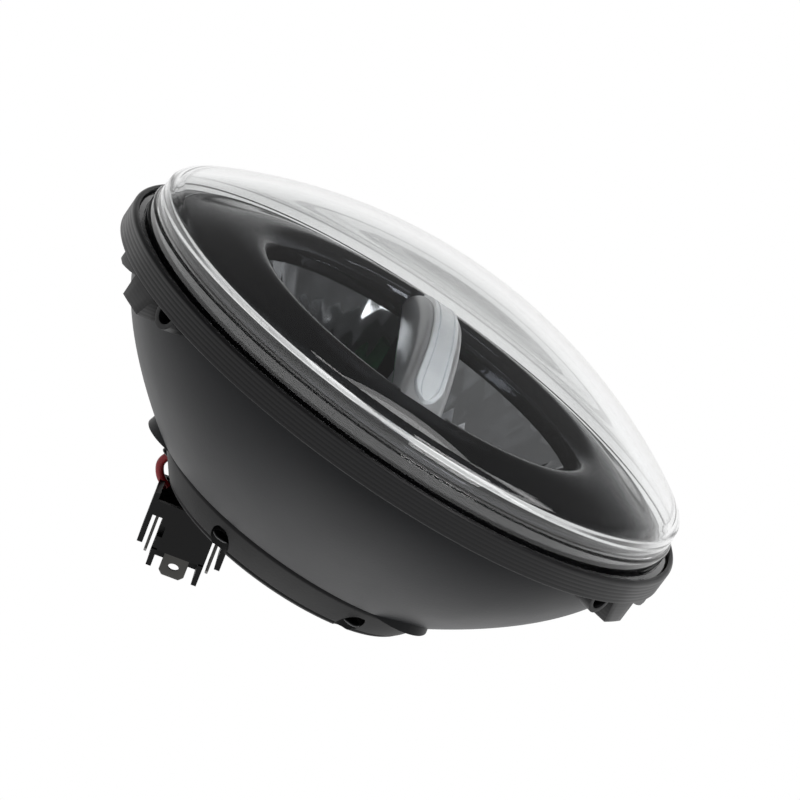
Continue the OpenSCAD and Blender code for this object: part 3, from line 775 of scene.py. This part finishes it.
def bowl_outline(shape):
    """The bowl: its flange, the collar under the lens, the curved wall and the rear hole."""
    depth, wall = shape.bowl_depth, 2.8 * MM

    def radius(at):
        drop = shape.bowl_front - shape.bowl_rear
        return shape.bowl_front - drop * (at / depth) ** shape.bowl_power

    steps = 40
    outside = [(radius(depth * i / steps), -depth * i / steps) for i in range(steps + 1)]
    inside = [(r - wall * 1.15, h) for r, h in outside]
    flange = 3.5 * MM
    collar_out, collar_in, collar = 81.7 * MM, 79.3 * MM, 10 * MM
    ledge = shape.bowl_front - 9 * MM
    land, hole = 3 * MM, 36 * MM
    inside = [p for p in inside if p[1] < -0.2 * MM and p[1] > -depth + land]
    front = filleted([
        (ledge, 0, 0.3 * MM), (ledge, flange, 0.3 * MM), (collar_in, flange, 0.3 * MM),
        (collar_in, collar, 0.5 * MM), (collar_out, collar, 0.5 * MM),
        (collar_out, flange, 0.2 * MM), (83.7 * MM, flange, 0.2 * MM), (83.7 * MM, 0, 0.3 * MM)],
        steps=3)
    rear = [(outside[-1][0] - 0.6 * MM, -depth), (hole, -depth), (hole, -depth + land)]
    outside = outside[:-1] + [(radius(depth - 0.6 * MM), -depth + 0.6 * MM)]
    return front + outside + rear + inside[::-1]


def rear_pad_mesh(shape, turn):
    """A pad that swells out of the bowl's rear edge, as a closed frustum cut off inside."""
    rounding, reach, height, lean, sides = 14.5 * MM, 4.2 * MM, 6 * MM, 1.5 * MM, 40
    middle = shape.bowl_rear + reach - rounding
    cut = shape.bowl_rear - 2 * MM
    sections = []
    for level, radius in ((0, rounding), (height, rounding - lean)):
        half = math.acos((cut - middle) / radius)
        angles = [-half + 2 * half * i / sides for i in range(sides + 1)]
        sections.append([
            (middle + radius * math.cos(at), shape.bowl_depth - level, radius * math.sin(at))
            for at in angles])
    mesh = plain_mesh(loft(sections), "pad")
    mesh.transform(Matrix.Rotation(-turn, 4, "Y"))
    return mesh


def box_mesh(low, high):
    """A box between two corners."""
    low, high = Vector(low), Vector(high)
    bm = bmesh.new()
    bmesh.ops.create_cube(
        bm, size=1,
        matrix=Matrix.Translation((low + high) / 2) @ Matrix.Diagonal((*(high - low), 1)))
    return plain_mesh(bm, "box")


def lug_mesh():
    """Three locating lugs behind the ring: a low rib, a block and a half-round tab."""
    depth, width = 6.6 * MM, 13 * MM
    grip, outer = 82.7 * MM, 88.5 * MM
    root = 0.2 * MM
    stations = [
        (-1.6 * width, -0.35 * depth), (-1.5 * width, -0.37 * depth),
        (-1.35 * width, -0.4 * depth), (-1.1 * width, -0.32 * depth),
        (-0.85 * width, -0.23 * depth), (-0.56 * width, -0.6 * MM), (-0.55 * width, -depth),
        (-0.3 * width, -depth), (0, -depth), (0.28 * width, -depth), (0.39 * width, -0.5 * depth),
        (0.5 * width, -0.2 * MM)]
    block = [
        [(grip, along, low), (outer, along, low), (outer, along, root), (grip, along, root)]
        for along, low in stations]
    tab, wall = 0.64 * depth, 1.4 * MM
    middle = width + 0.4 * MM
    arch = []
    for i in range(25):
        at = math.pi + math.pi * i / 24
        arch.append([
            (reach, middle + size * math.cos(at), size * math.sin(at) + root)
            for reach, size in (
                (grip, tab), (outer, tab), (outer, tab - wall), (grip, tab - wall))])
    bm = bmesh.new()
    for turn, side in LUG_TURNS:
        def bent(radius, along, height):
            """A corner at a distance along the rim, bent round the ring."""
            angle = math.radians(turn) + side * along / outer
            return radius * math.cos(angle), -height, radius * math.sin(angle)

        for sections in (block, arch):
            loft([[bent(*corner) for corner in section] for section in sections], bm)
    return bm


def sink_outline():
    """The closed outline of the heat sink's pan, with its sloping side and double rim."""
    back, seat = -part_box("heat_sink")[1][1], -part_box("housing")[1][1]
    rim, wall = 39.5 * MM, 2.6 * MM
    floor = seat - 5 * MM
    return filleted([
        (0, seat, 0), (46.4 * MM, seat, 0), (46.4 * MM, seat - 1.6 * MM, 0.5 * MM),
        (rim + 1.3 * MM, back + 1.7 * MM, 0.3 * MM), (rim + 0.5 * MM, back + 1.4 * MM, 0.1 * MM),
        (rim + 0.4 * MM, back + 0.7 * MM, 0.1 * MM), (rim - 0.4 * MM, back, 0.3 * MM),
        (rim - wall, back, 0.3 * MM), (rim - wall, floor, 0.3 * MM), (0, floor, 0)], steps=3)


def make_sink():
    """The finned back, with pockets for the screws and an open channel for the leads."""
    back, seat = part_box("heat_sink")[1][1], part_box("housing")[1][1]
    land, above = seat + 5 * MM, back + 1 * MM
    pan = mesh_object(
        "finned_back", finish_mesh(turned(sink_outline(), closed=False), "pan"), "cast_black")
    fins = mesh_object("fins", bpy.data.meshes.new("fins"), "cast_black")
    combined(pan, grown(
        fins, fins_tree(), Front=seat + 4.8 * MM, Depth=back - seat - 5.3 * MM).copy(), "UNION")
    bpy.data.objects.remove(fins)
    combined(pan, disc_mesh((0, 10 * MM), 10.5 * MM, land, above), "DIFFERENCE")
    combined(pan, box_mesh((-10 * MM, land, -60 * MM), (10 * MM, above, 10 * MM)), "DIFFERENCE")
    circle = SINK_SCREWS["circle"]
    for k in range(SINK_SCREWS["count"]):
        turn = SINK_SCREWS["start"] + math.tau * k / SINK_SCREWS["count"]
        spot = (circle * math.cos(turn), circle * math.sin(turn))
        combined(pan, disc_mesh(spot, 3.4 * MM, seat + 4 * MM, above), "DIFFERENCE")
    low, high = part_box("breather")
    room = (high[0] - low[0]) / 2 + 2 * MM
    vent = ((low[0] + high[0]) / 2, (low[2] + high[2]) / 2)
    combined(pan, disc_mesh(vent, room, land, above), "DIFFERENCE")
    smooth(pan.data, 30)
    stands_for(pan, "heat_sink")


def disc_mesh(middle, radius, near, far, sides=48):
    """A closed cylinder along the lamp's axis, with its middle at (x, z)."""
    angles = [math.tau * k / sides for k in range(sides)]
    sections = [
        [(middle[0] + radius * math.cos(angle), y, middle[1] + radius * math.sin(angle))
         for angle in angles] for y in (near, far)]
    return plain_mesh(loft(sections), "disc")


class DressShell(bpy.types.Operator):
    """Makes the bowl, the mounting ring, the heat sink and their seals"""
    bl_idname = "headlight.dress_shell"
    bl_label = "Shell"

    def execute(self, context):
        shape = context.scene.lamp_shape
        bowl = finish_mesh(turned(bowl_outline(shape)), "bowl")
        bowl = mesh_object("cast_bowl", bowl, "housing")
        for degrees in PAD_TURNS:
            combined(bowl, rear_pad_mesh(shape, math.radians(degrees)), "UNION")
        smooth(bowl.data, 30)
        bowl.data.materials.append(finish_of("gloss_black"))
        for face in bowl.data.polygons:
            if face.center.y < -1 * MM:
                face.material_index = 1
        stands_for(bowl, "housing")
        ring = finish_mesh(turned(ring_outline()), "ring", 50)
        ring = mesh_object("turned_ring", ring, "ring")
        lugs = softened(lug_mesh(), "ring_lugs", "ring", 0.3 * MM)
        for piece in (ring, lugs):
            stands_for(piece, "mounting_ring")
        make_sink()
        finish_node("seal_ring", "seal")
        softened_copy("breather", "vent_cap", "black_plastic", 0.25 * MM)
        softened_copy("grommet", "lead_grommet", "rubber", 0.3 * MM)
        return {"FINISHED"}


class DressLens(bpy.types.Operator):
    """Makes the clear lens and its gasket"""
    bl_idname = "headlight.dress_lens"
    bl_label = "Lens"

    def execute(self, context):
        shape = context.scene.lamp_shape
        dome = finish_mesh(turned(lens_outline(shape)), "dome", 50)
        dome = mesh_object("clear_dome", dome, "lens")
        dome.visible_shadow = False
        stands_for(dome, "lens")
        finish_node("lens_gasket", "rubber")
        return {"FINISHED"}


BAR_CROWN = 24 * MM
BAR_ARC = 162 * MM
BAR_REACH = 56.3 * MM
BAR_HALF = 6.75 * MM


def arc_height(x):
    """Height of the bar's front along its length."""
    return BAR_CROWN - BAR_ARC + math.sqrt(BAR_ARC * BAR_ARC - x * x)


def loft(sections, bm=None):
    """A closed bar through equal loops of points, added to bm where it is given."""
    bm = bmesh.new() if bm is None else bm
    rings = [[bm.verts.new(point) for point in section] for section in sections]
    count = len(rings[0])
    for a, b in zip(rings, rings[1:]):
        for k in range(count):
            m = (k + 1) % count
            bm.faces.new((a[k], a[m], b[m], b[k]))
    bm.faces.new(rings[0])
    bm.faces.new(rings[-1][::-1])
    return bm


def bar_mesh():
    """The arched bar: upright flanks, sloping shoulders and a flat crown under the guide."""
    floor = 10.5 * MM
    sections = []
    for i in range(65):
        x = -BAR_REACH + 2 * BAR_REACH * i / 64
        top = arc_height(x)
        half = [
            (BAR_HALF, floor), (BAR_HALF, top - 3.0 * MM), (BAR_HALF - 0.5 * MM, top - 1.7 * MM),
            (5.6 * MM, top - 0.5 * MM), (5.0 * MM, top)]
        loop = half + [(-z, height) for z, height in reversed(half)]
        sections.append([(x, -height, z) for z, height in loop])
    return loft(sections)


def guide_half_width(x):
    """Half the guide's width along its length, widest near its blunt ends."""
    half, side = 51.8 * MM, 4.2 * MM
    profile = [
        (0, 0.9), (0.5 * half, 0.93), (half - 12 * MM, 1), (half - 7 * MM, 1),
        (half - 3.5 * MM, 0.78), (half - 1.4 * MM, 0.5), (half - 0.4 * MM, 0.26), (half, 0.1)]
    at = abs(x)
    for (x0, w0), (x1, w1) in zip(profile, profile[1:]):
        if at <= x1:
            return side * (w0 + (w1 - w0) * (at - x0) / (x1 - x0))
    return side * profile[-1][1]


def guide_mesh():
    """The light guide: a low milky strip with a groove that follows its edge."""
    half, proud = 51.8 * MM, 1.1 * MM
    stations = [-half, -half + 0.2 * MM, -half + 0.5 * MM, -half + 1 * MM, -half + 1.8 * MM]
    stations += [-half + (3 + 1.6 * i) * MM for i in range(31)]
    stations = stations + [-x for x in reversed(stations)]
    sections = []
    for x in stations:
        width = guide_half_width(x)
        top = arc_height(x) + proud
        end = min(1.0, (half - abs(x)) / (3 * MM) + 0.1)
        groove = 0.5 * MM * end
        side = [
            (width, top - proud - 0.6 * MM), (width, top - 0.55 * MM),
            (width - 0.18 * MM, top - 0.16 * MM), (max(width - 0.6 * MM, width * 0.8), top),
            (width * 0.68, top), (width * 0.64, top - groove), (width * 0.58, top - groove),
            (width * 0.54, top)]
        loop = side + [(-z, height) for z, height in reversed(side)]
        sections.append([(x, -height, z) for z, height in loop])
    return loft(sections)


class DressOptics(bpy.types.Operator):
    """Makes the bezel, the two half bowls, the centre bar and the light guide"""
    bl_idname = "headlight.dress_optics"
    bl_label = "Optics"

    def execute(self, context):
        shape = context.scene.lamp_shape
        bezel = finish_mesh(turned(bezel_outline()), "bezel", 60)
        bezel = mesh_object("smoked_bezel", bezel, "bezel")
        play, inner, front, back = 0.25 * MM, 48 * MM, -40 * MM, -10 * MM
        for near, far in ((inner, BAR_REACH + play), (-BAR_REACH - play, -inner)):
            notch = box_mesh((near, front, -BAR_HALF - play), (far, back, BAR_HALF + play))
            combined(bezel, notch, "DIFFERENCE")
        smooth(bezel.data, 40)
        stands_for(bezel, "bezel")
        # The lower half bowl takes the mirror coat darkened as painted shade.
        for name, node, up, finish in (
                ("upper_bowl", "upper_reflector", 1, "mirror"),
                ("lower_bowl", "lower_reflector", -1, "shaded_mirror")):
            piece = mesh_object(name, bpy.data.meshes.new(name), finish)
            grown(piece, half_bowl_tree(), Side=float(up), Focal=shape.focal_length,
                  Rows=shape.facet_rows, Columns=shape.facet_columns,
                  Relief=shape.facet_relief)
            faces = bmesh.new()
            faces.from_mesh(piece.data)
            bmesh.ops.recalc_face_normals(faces, faces=faces.faces)
            if sum(face.normal.y * face.calc_area() for face in faces.faces) > 0:
                bmesh.ops.reverse_faces(faces, faces=faces.faces)
            faces.to_mesh(piece.data)
            faces.free()
            wall = piece.modifiers.new("Wall", "SOLIDIFY")
            wall.thickness = 1.5 * MM
            wall.offset = -1
            smooth(applied(piece), 24)
            stands_for(piece, node)
        bar = softened(bar_mesh(), "arched_bar", "bar", 0.35 * MM, segments=3)
        stands_for(bar, "centre_bar")
        guide = mesh_object("milky_guide", finish_mesh(guide_mesh(), "guide"), "guide")
        stands_for(guide, "light_guide")
        return {"FINISHED"}


class DressElectronics(bpy.types.Operator):
    """Finishes the carrier, the boards, the chips and the driver"""
    bl_idname = "headlight.dress_electronics"
    bl_label = "Electronics"

    def execute(self, context):
        softened_copy("carrier", "carrier_plate", "aluminium", 0.2 * MM)
        for node in ("guide_board", "upper_led_board", "lower_led_board", "driver_board"):
            finish_node(node, "board")
        for node in ("guide_chips", "upper_chips", "lower_chips"):
            finish_node(node, "chip")
        softened_copy("driver_parts", "driver_components", "parts", 0.25 * MM)
        return {"FINISHED"}


class DressFasteners(bpy.types.Operator):
    """Finishes the screws"""
    bl_idname = "headlight.dress_fasteners"
    bl_label = "Screws"

    def execute(self, context):
        for node in ("bezel_screws", "reflector_screws", "carrier_screws"):
            softened_copy(node, node + "_plated", "zinc", 0.12 * MM)
        heads = mesh_object("cross_head_screws", bpy.data.meshes.new("screws"), "black_screw")
        grown(heads, screws_tree(), Count=SINK_SCREWS["count"], Circle=SINK_SCREWS["circle"],
              Start=SINK_SCREWS["start"], Seat=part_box("sink_screws")[1][1] - 2.4 * MM)
        smooth(heads.data, 35)
        stands_for(heads, "sink_screws")
        return {"FINISHED"}


# Routes of the leads in millimetres, from the grommet to the plug.
LEAD_ROUTES = {
    "red_lead": [
        (-3, 53, 10), (-3, 56.2, 9.6), (-3.2, 58.4, 7.6), (-3.6, 58.8, 4), (-4, 57.4, 0),
        (-4, 55.2, -5), (-4, 53.2, -11), (-4, 51.8, -17), (-4, 50.8, -23), (-4, 50, -29),
        (-4, 49.4, -34), (-4, 49.4, -38), (-4, 50.8, -41.2), (-4, 54, -42.2),
        (-4, 57.2, -40.2), (-4, 59, -36.9)],
    "black_lead": [
        (0.4, 53, 7.4), (0.4, 55.8, 7), (0.3, 57.8, 5), (0.2, 58, 1.6), (0, 56.6, -2.4),
        (0, 54.6, -7.4), (0, 53.2, -13), (0, 52.8, -18.6), (0, 53.4, -23.4), (0, 55.2, -26.8),
        (0, 58.4, -28.6)],
    "white_lead": [
        (3.4, 53, 10), (3.4, 56.2, 9.4), (3.4, 58, 7), (3.6, 57.8, 3.4), (3.8, 56, -1),
        (4, 54, -6), (4, 52.4, -11), (4, 52.2, -15.6), (4, 53.4, -19.6), (4, 56.4, -22.2)],
}


class MakeLeads(bpy.types.Operator):
    """Makes the three leads from the grommet to the plug"""
    bl_idname = "headlight.make_leads"
    bl_label = "Leads"

    def execute(self, context):
        shape = context.scene.lamp_shape
        for node, route in LEAD_ROUTES.items():
            points = [Vector(p) * MM for p in route]
            path = [Vector(p) for p in curve_through(points, steps=6)]
            line = bpy.data.meshes.new(node)
            line.from_pydata(path, [(i, i + 1) for i in range(len(path) - 1)], [])
            piece = mesh_object(node + "_wire", line, node)
            grown(piece, lead_tree(), Radius=shape.lead_diameter / 2, Sides=20)
            stands_for(piece, node)
        return {"FINISHED"}


def plug_place():
    """The plug's own frame: X across, Y up its face, Z along its blades."""
    return Matrix.Translation((0, 68.2 * MM, -25 * MM)) @ Matrix.Rotation(
        math.radians(13 - 90), 4, "X")


def plug_block(low, high):
    """A box in the plug's frame, in millimetres."""
    mesh = box_mesh([v * MM for v in low], [v * MM for v in high])
    mesh.transform(plug_place())
    return mesh


def make_plug():
    """The moulded plug: an open funnel, a core with two guards, and a shroud round a blade."""
    wide, deep, front, back, root = 24.4, 17, -13.5, 2.3, -7
    guard, shroud, funnel = 1.6, 6, 4.4
    core = wide - 2 * (guard + 3)
    plug = mesh_object(
        "moulded_plug", plug_block((-deep / 2, -wide / 2, front), (deep / 2, wide / 2, root)),
        "black_plastic")
    added = [((-deep / 2, -core / 2, root - 0.5), (deep / 2, core / 2, back))]
    for low, high in ((-wide / 2, guard - wide / 2), (wide / 2 - guard, wide / 2)):
        added.append(((-deep / 2, low, root - 0.5), (deep * 0.4, high, back)))
    left = -deep / 2 + 2
    added += [
        ((left, -core / 2, back - 0.5), (left + 2.5, core / 2, back + shroud)),
        ((left, -core / 2, back - 0.5), (left + deep - 2, -core / 2 + 1.5, back + shroud)),
        ((left, core / 2 - 1.5, back - 0.5), (left + deep - 2, core / 2, back + shroud - 1))]
    for low, high in added:
        combined(plug, plug_block(low, high), "UNION")
    inner, tall = deep / 2 - guard, wide / 2 - guard
    for low, high in (
            ((-inner, -tall, front - 1), (inner, tall, front + funnel)),
            ((inner - 1, -tall, front - 1), (deep, tall, front + 2.2)),
            ((deep / 2 - 3, core / 2 - 1.6, -4.8), (deep / 2 + 1, core / 2 + 0.8, -1.6)),
            ((-3.9, -9.55, root - 1.5), (3.9, -8.65, root + 1)),
            ((-3.9, 8.65, root - 1.5), (3.9, 9.55, root + 1))):
        combined(plug, plug_block(low, high), "DIFFERENCE")
    for node in LEAD_ROUTES:
        spot = plug_place().inverted() @ (Vector(LEAD_ROUTES[node][-1]) * MM)
        hole = disc_mesh((0, 0), 1.5 * MM, -3 * MM, 3 * MM, sides=24)
        hole.transform(Matrix.Rotation(math.pi / 2, 4, "X"))
        hole.transform(Matrix.Translation((spot.x, spot.y, (front + funnel) * MM)))
        hole.transform(plug_place())
        combined(plug, hole, "DIFFERENCE")
    faces = bmesh.new()
    faces.from_mesh(plug.data)
    bmesh.ops.remove_doubles(faces, verts=faces.verts, dist=1e-6)
    faces.to_mesh(plug.data)
    faces.free()
    round_edges(plug, 0.22 * MM)
    stands_for(plug, "plug_body")


def blade_mesh(back, front, hole_drop):
    """A flat blade along Z with clipped tip corners, and the slot that is cut in it."""
    half, cut, thick = 3.7 * MM, 1.2 * MM, 0.4 * MM
    outline = [
        (-half, back), (half, back), (half, front - cut), (half - cut, front),
        (-half + cut, front), (-half, front - cut)]
    mesh = plain_mesh(loft([[(x, y, z) for y, z in outline] for x in (-thick, thick)]), "blade")
    hole = disc_mesh((0, 0), 0.9 * MM, -2 * MM, 2 * MM, sides=24)
    hole.transform(Matrix.Rotation(math.pi / 2, 4, "Z"))
    hole.transform(Matrix.Diagonal((1, 1.7, 1, 1)))
    hole.transform(Matrix.Translation((0, 0, front - hole_drop)))
    return mesh, hole


class DressPlug(bpy.types.Operator):
    """Makes the plug and its three blades"""
    bl_idname = "headlight.dress_plug"
    bl_label = "Plug"

    def execute(self, context):
        make_plug()
        across = Matrix.Rotation(math.pi / 2, 4, "Z")
        aside = 9.1 * MM
        stands = {
            "centre_blade": (Matrix.Translation((4.6 * MM, 0, 0)), 1.4 * MM, 9.8 * MM),
            "left_blade": (Matrix.Translation((0, aside, 0)) @ across, -8.4 * MM, 5.9 * MM),
            "right_blade": (Matrix.Translation((0, -aside, 0)) @ across, -8.4 * MM, 5.9 * MM)}
        hole_drop = 3.2 * MM
        for node, (stand, back, front) in stands.items():
            mesh, hole = blade_mesh(back, front, hole_drop)
            for part in (mesh, hole):
                part.transform(plug_place() @ stand)
            # The blades take the tin finish that is darkened as painted shade.
            blade = mesh_object(node + "_tinned", mesh, "shaded_tin")
            combined(blade, hole, "DIFFERENCE")
            round_edges(blade, 0.12 * MM)
            stands_for(blade, node)
        return {"FINISHED"}


def ray_kinds(tree):
    """Factors that are 1 for camera rays, for rays through glass and for glossy rays."""
    path = tree.nodes.new("ShaderNodeLightPath")
    kinds = ("Is Camera Ray", "Is Transmission Ray", "Is Glossy Ray")
    return [path.outputs[kind] for kind in kinds]


def room_light(tree, direction, front_level):
    """White behind the lamp, falling to the level of the room in front of it."""
    lean = tree.nodes.new("ShaderNodeVectorMath")
    lean.operation = "DOT_PRODUCT"
    lean.inputs[1].default_value = (0.0, 1.0, 0.15)
    connect(tree, direction, lean.inputs[0])
    return add_node(
        tree, "ShaderNodeMapRange", {"interpolation_type": "SMOOTHSTEP"}, "Result",
        Value=lean.outputs["Value"], From_Min=-0.42, From_Max=-0.1, To_Min=front_level,
        To_Max=1.0)


def build_world(stage):
    """White to the camera, white behind the lamp and darker in front of it to gloss."""
    world = bpy.data.worlds.new("Soft studio")
    bpy.context.scene.world = world
    world.use_nodes = True
    tree = world.node_tree
    background = tree.nodes["Background"]
    background.inputs["Color"].default_value = (1, 1, 1, 1)
    camera, through, glossy = ray_kinds(tree)
    direction = add_node(tree, "ShaderNodeTexCoord", output="Generated")
    soft = add_node(
        tree, "ShaderNodeMix", output="Result",
        Factor=calculated(tree, "MAXIMUM", through, glossy), A=stage.world_strength,
        B=room_light(tree, direction, stage.room_level))
    level = add_node(tree, "ShaderNodeMix", output="Result", Factor=camera, A=soft, B=1.0)
    connect(tree, level, background.inputs["Strength"])


def floor_material(stage):
    """A pale floor that holds the shadow, and shines as the room does in glass and gloss."""
    material, tree, shader = new_material(
        "Pale floor", base_color=(0.8, 0.8, 0.8), roughness=0.8)
    camera, through, glossy = ray_kinds(tree)
    towards = tree.nodes.new("ShaderNodeVectorMath")
    towards.operation = "NORMALIZE"
    connect(tree, object_coordinates(tree), towards.inputs[0])
    room = room_light(tree, towards.outputs["Vector"], stage.room_level)
    glow = add_node(
        tree, "ShaderNodeEmission", Strength=calculated(tree, "MAXIMUM", camera, room))
    mix = tree.nodes.new("ShaderNodeMixShader")
    seen = calculated(
        tree, "MAXIMUM", camera, calculated(tree, "MAXIMUM", through, glossy))
    for value, socket in zip((seen, shader.outputs["BSDF"], glow), mix.inputs):
        connect(tree, value, socket)
    connect(tree, mix.outputs["Shader"], tree.nodes["Material Output"].inputs["Surface"])
    return material


def area_lamp(name, place, size, power):
    """A lamp that looks at the middle of the headlight and isn't seen itself."""
    light = bpy.data.lights.new(name, "AREA")
    light.shape = "RECTANGLE"
    light.size, light.size_y = size
    light.energy = power
    lamp = bpy.data.objects.new(name, light)
    lamp.location = place
    lamp.rotation_euler = (-Vector(place)).to_track_quat("-Z", "Y").to_euler()
    lamp.visible_camera = False
    bpy.context.scene.collection.objects.link(lamp)


# Where the photograph was taken from, and the point it looks at.
CAMERA_PLACE = Vector((0.8647, -0.22922, -0.11384))
CAMERA_AIM = Vector((0.0019, -0.0006, 0.0015))


def place_camera(stage):
    """The photograph's view: from the lamp's right, a little in front, rolled on its side."""
    camera = bpy.data.objects.new("Camera", bpy.data.cameras.new("Camera"))
    bpy.context.scene.collection.objects.link(camera)
    camera.data.sensor_width = 36
    camera.data.lens = stage.lens_length
    camera.data.clip_start = 0.05
    turn = (CAMERA_AIM - CAMERA_PLACE).to_track_quat("-Z", "Y")
    roll = Quaternion((0, 0, 1), -stage.camera_roll)
    camera.matrix_world = (
        Matrix.Translation(CAMERA_PLACE) @ (turn @ roll).to_matrix().to_4x4())
    bpy.context.scene.camera = camera


# Each lamp's place and size, and its power as a share of the key power.
LAMPS = {
    "table_bounce": ((0.06, 0.9, 0.05), (0.9, 0.9), 1.0),
    "strip_lamp": ((-0.12, -0.88, 0.02), (0.1, 1.4), 0.35),
    "side_fill": ((0.3, -0.62, -0.62), (0.4, 0.4), 0.9),
    "front_fill": ((0.5, -0.8, 0.3), (0.4, 0.4), 1.0),
}


class BuildStage(bpy.types.Operator):
    """Makes the floor, the lamps, the world and the camera"""
    bl_idname = "headlight.build_stage"
    bl_label = "Stage"

    def execute(self, context):
        stage = context.scene.lamp_stage
        place_camera(stage)
        build_world(stage)
        half, low = 4, -stage.floor_drop
        mesh = bpy.data.meshes.new("floor")
        mesh.from_pydata(
            [(-half, -half, low), (half, -half, low), (half, half, low), (-half, half, low)],
            [], [(0, 1, 2, 3)])
        mesh.materials.append(floor_material(stage))
        floor = bpy.data.objects.new("floor", mesh)
        context.scene.collection.objects.link(floor)
        for name, (place, size, share) in LAMPS.items():
            area_lamp(name, place, size, stage.key_power * share)
        context.scene.view_settings.view_transform = "Standard"
        return {"FINISHED"}


class HeadlightPanel(bpy.types.Panel):
    """The headlight's pieces in the sidebar"""
    bl_idname = "VIEW3D_PT_headlight"
    bl_label = "Headlight"
    bl_space_type = "VIEW_3D"
    bl_region_type = "UI"
    bl_category = "Headlight"

    def draw(self, context):
        for operator in OPERATORS:
            self.layout.operator(operator.bl_idname)
        for group in ("lamp_shape", "lamp_finish", "lamp_stage"):
            settings = getattr(context.scene, group)
            for name in settings.__annotations__:
                self.layout.prop(settings, name)


OPERATORS = (
    BuildStage, DressPlug, MakeLeads, DressShell, DressLens, DressOptics, DressElectronics,
    DressFasteners)
GROUPS = {"lamp_shape": LampShape, "lamp_finish": LampFinish, "lamp_stage": StageLook}


def register():
    for cls in (*GROUPS.values(), *OPERATORS, HeadlightPanel):
        bpy.utils.register_class(cls)
    for name, group in GROUPS.items():
        setattr(bpy.types.Scene, name, PointerProperty(type=group))


def unregister():
    for name in GROUPS:
        delattr(bpy.types.Scene, name)
    for cls in reversed((*GROUPS.values(), *OPERATORS, HeadlightPanel)):
        bpy.utils.unregister_class(cls)


def main():
    register()
    bpy.ops.headlight.build_stage()
    bpy.ops.headlight.dress_plug()
    bpy.ops.headlight.make_leads()
    bpy.ops.headlight.dress_shell()
    bpy.ops.headlight.dress_lens()
    bpy.ops.headlight.dress_optics()
    bpy.ops.headlight.dress_electronics()
    bpy.ops.headlight.dress_fasteners()


if __name__ == "__main__":
    main()
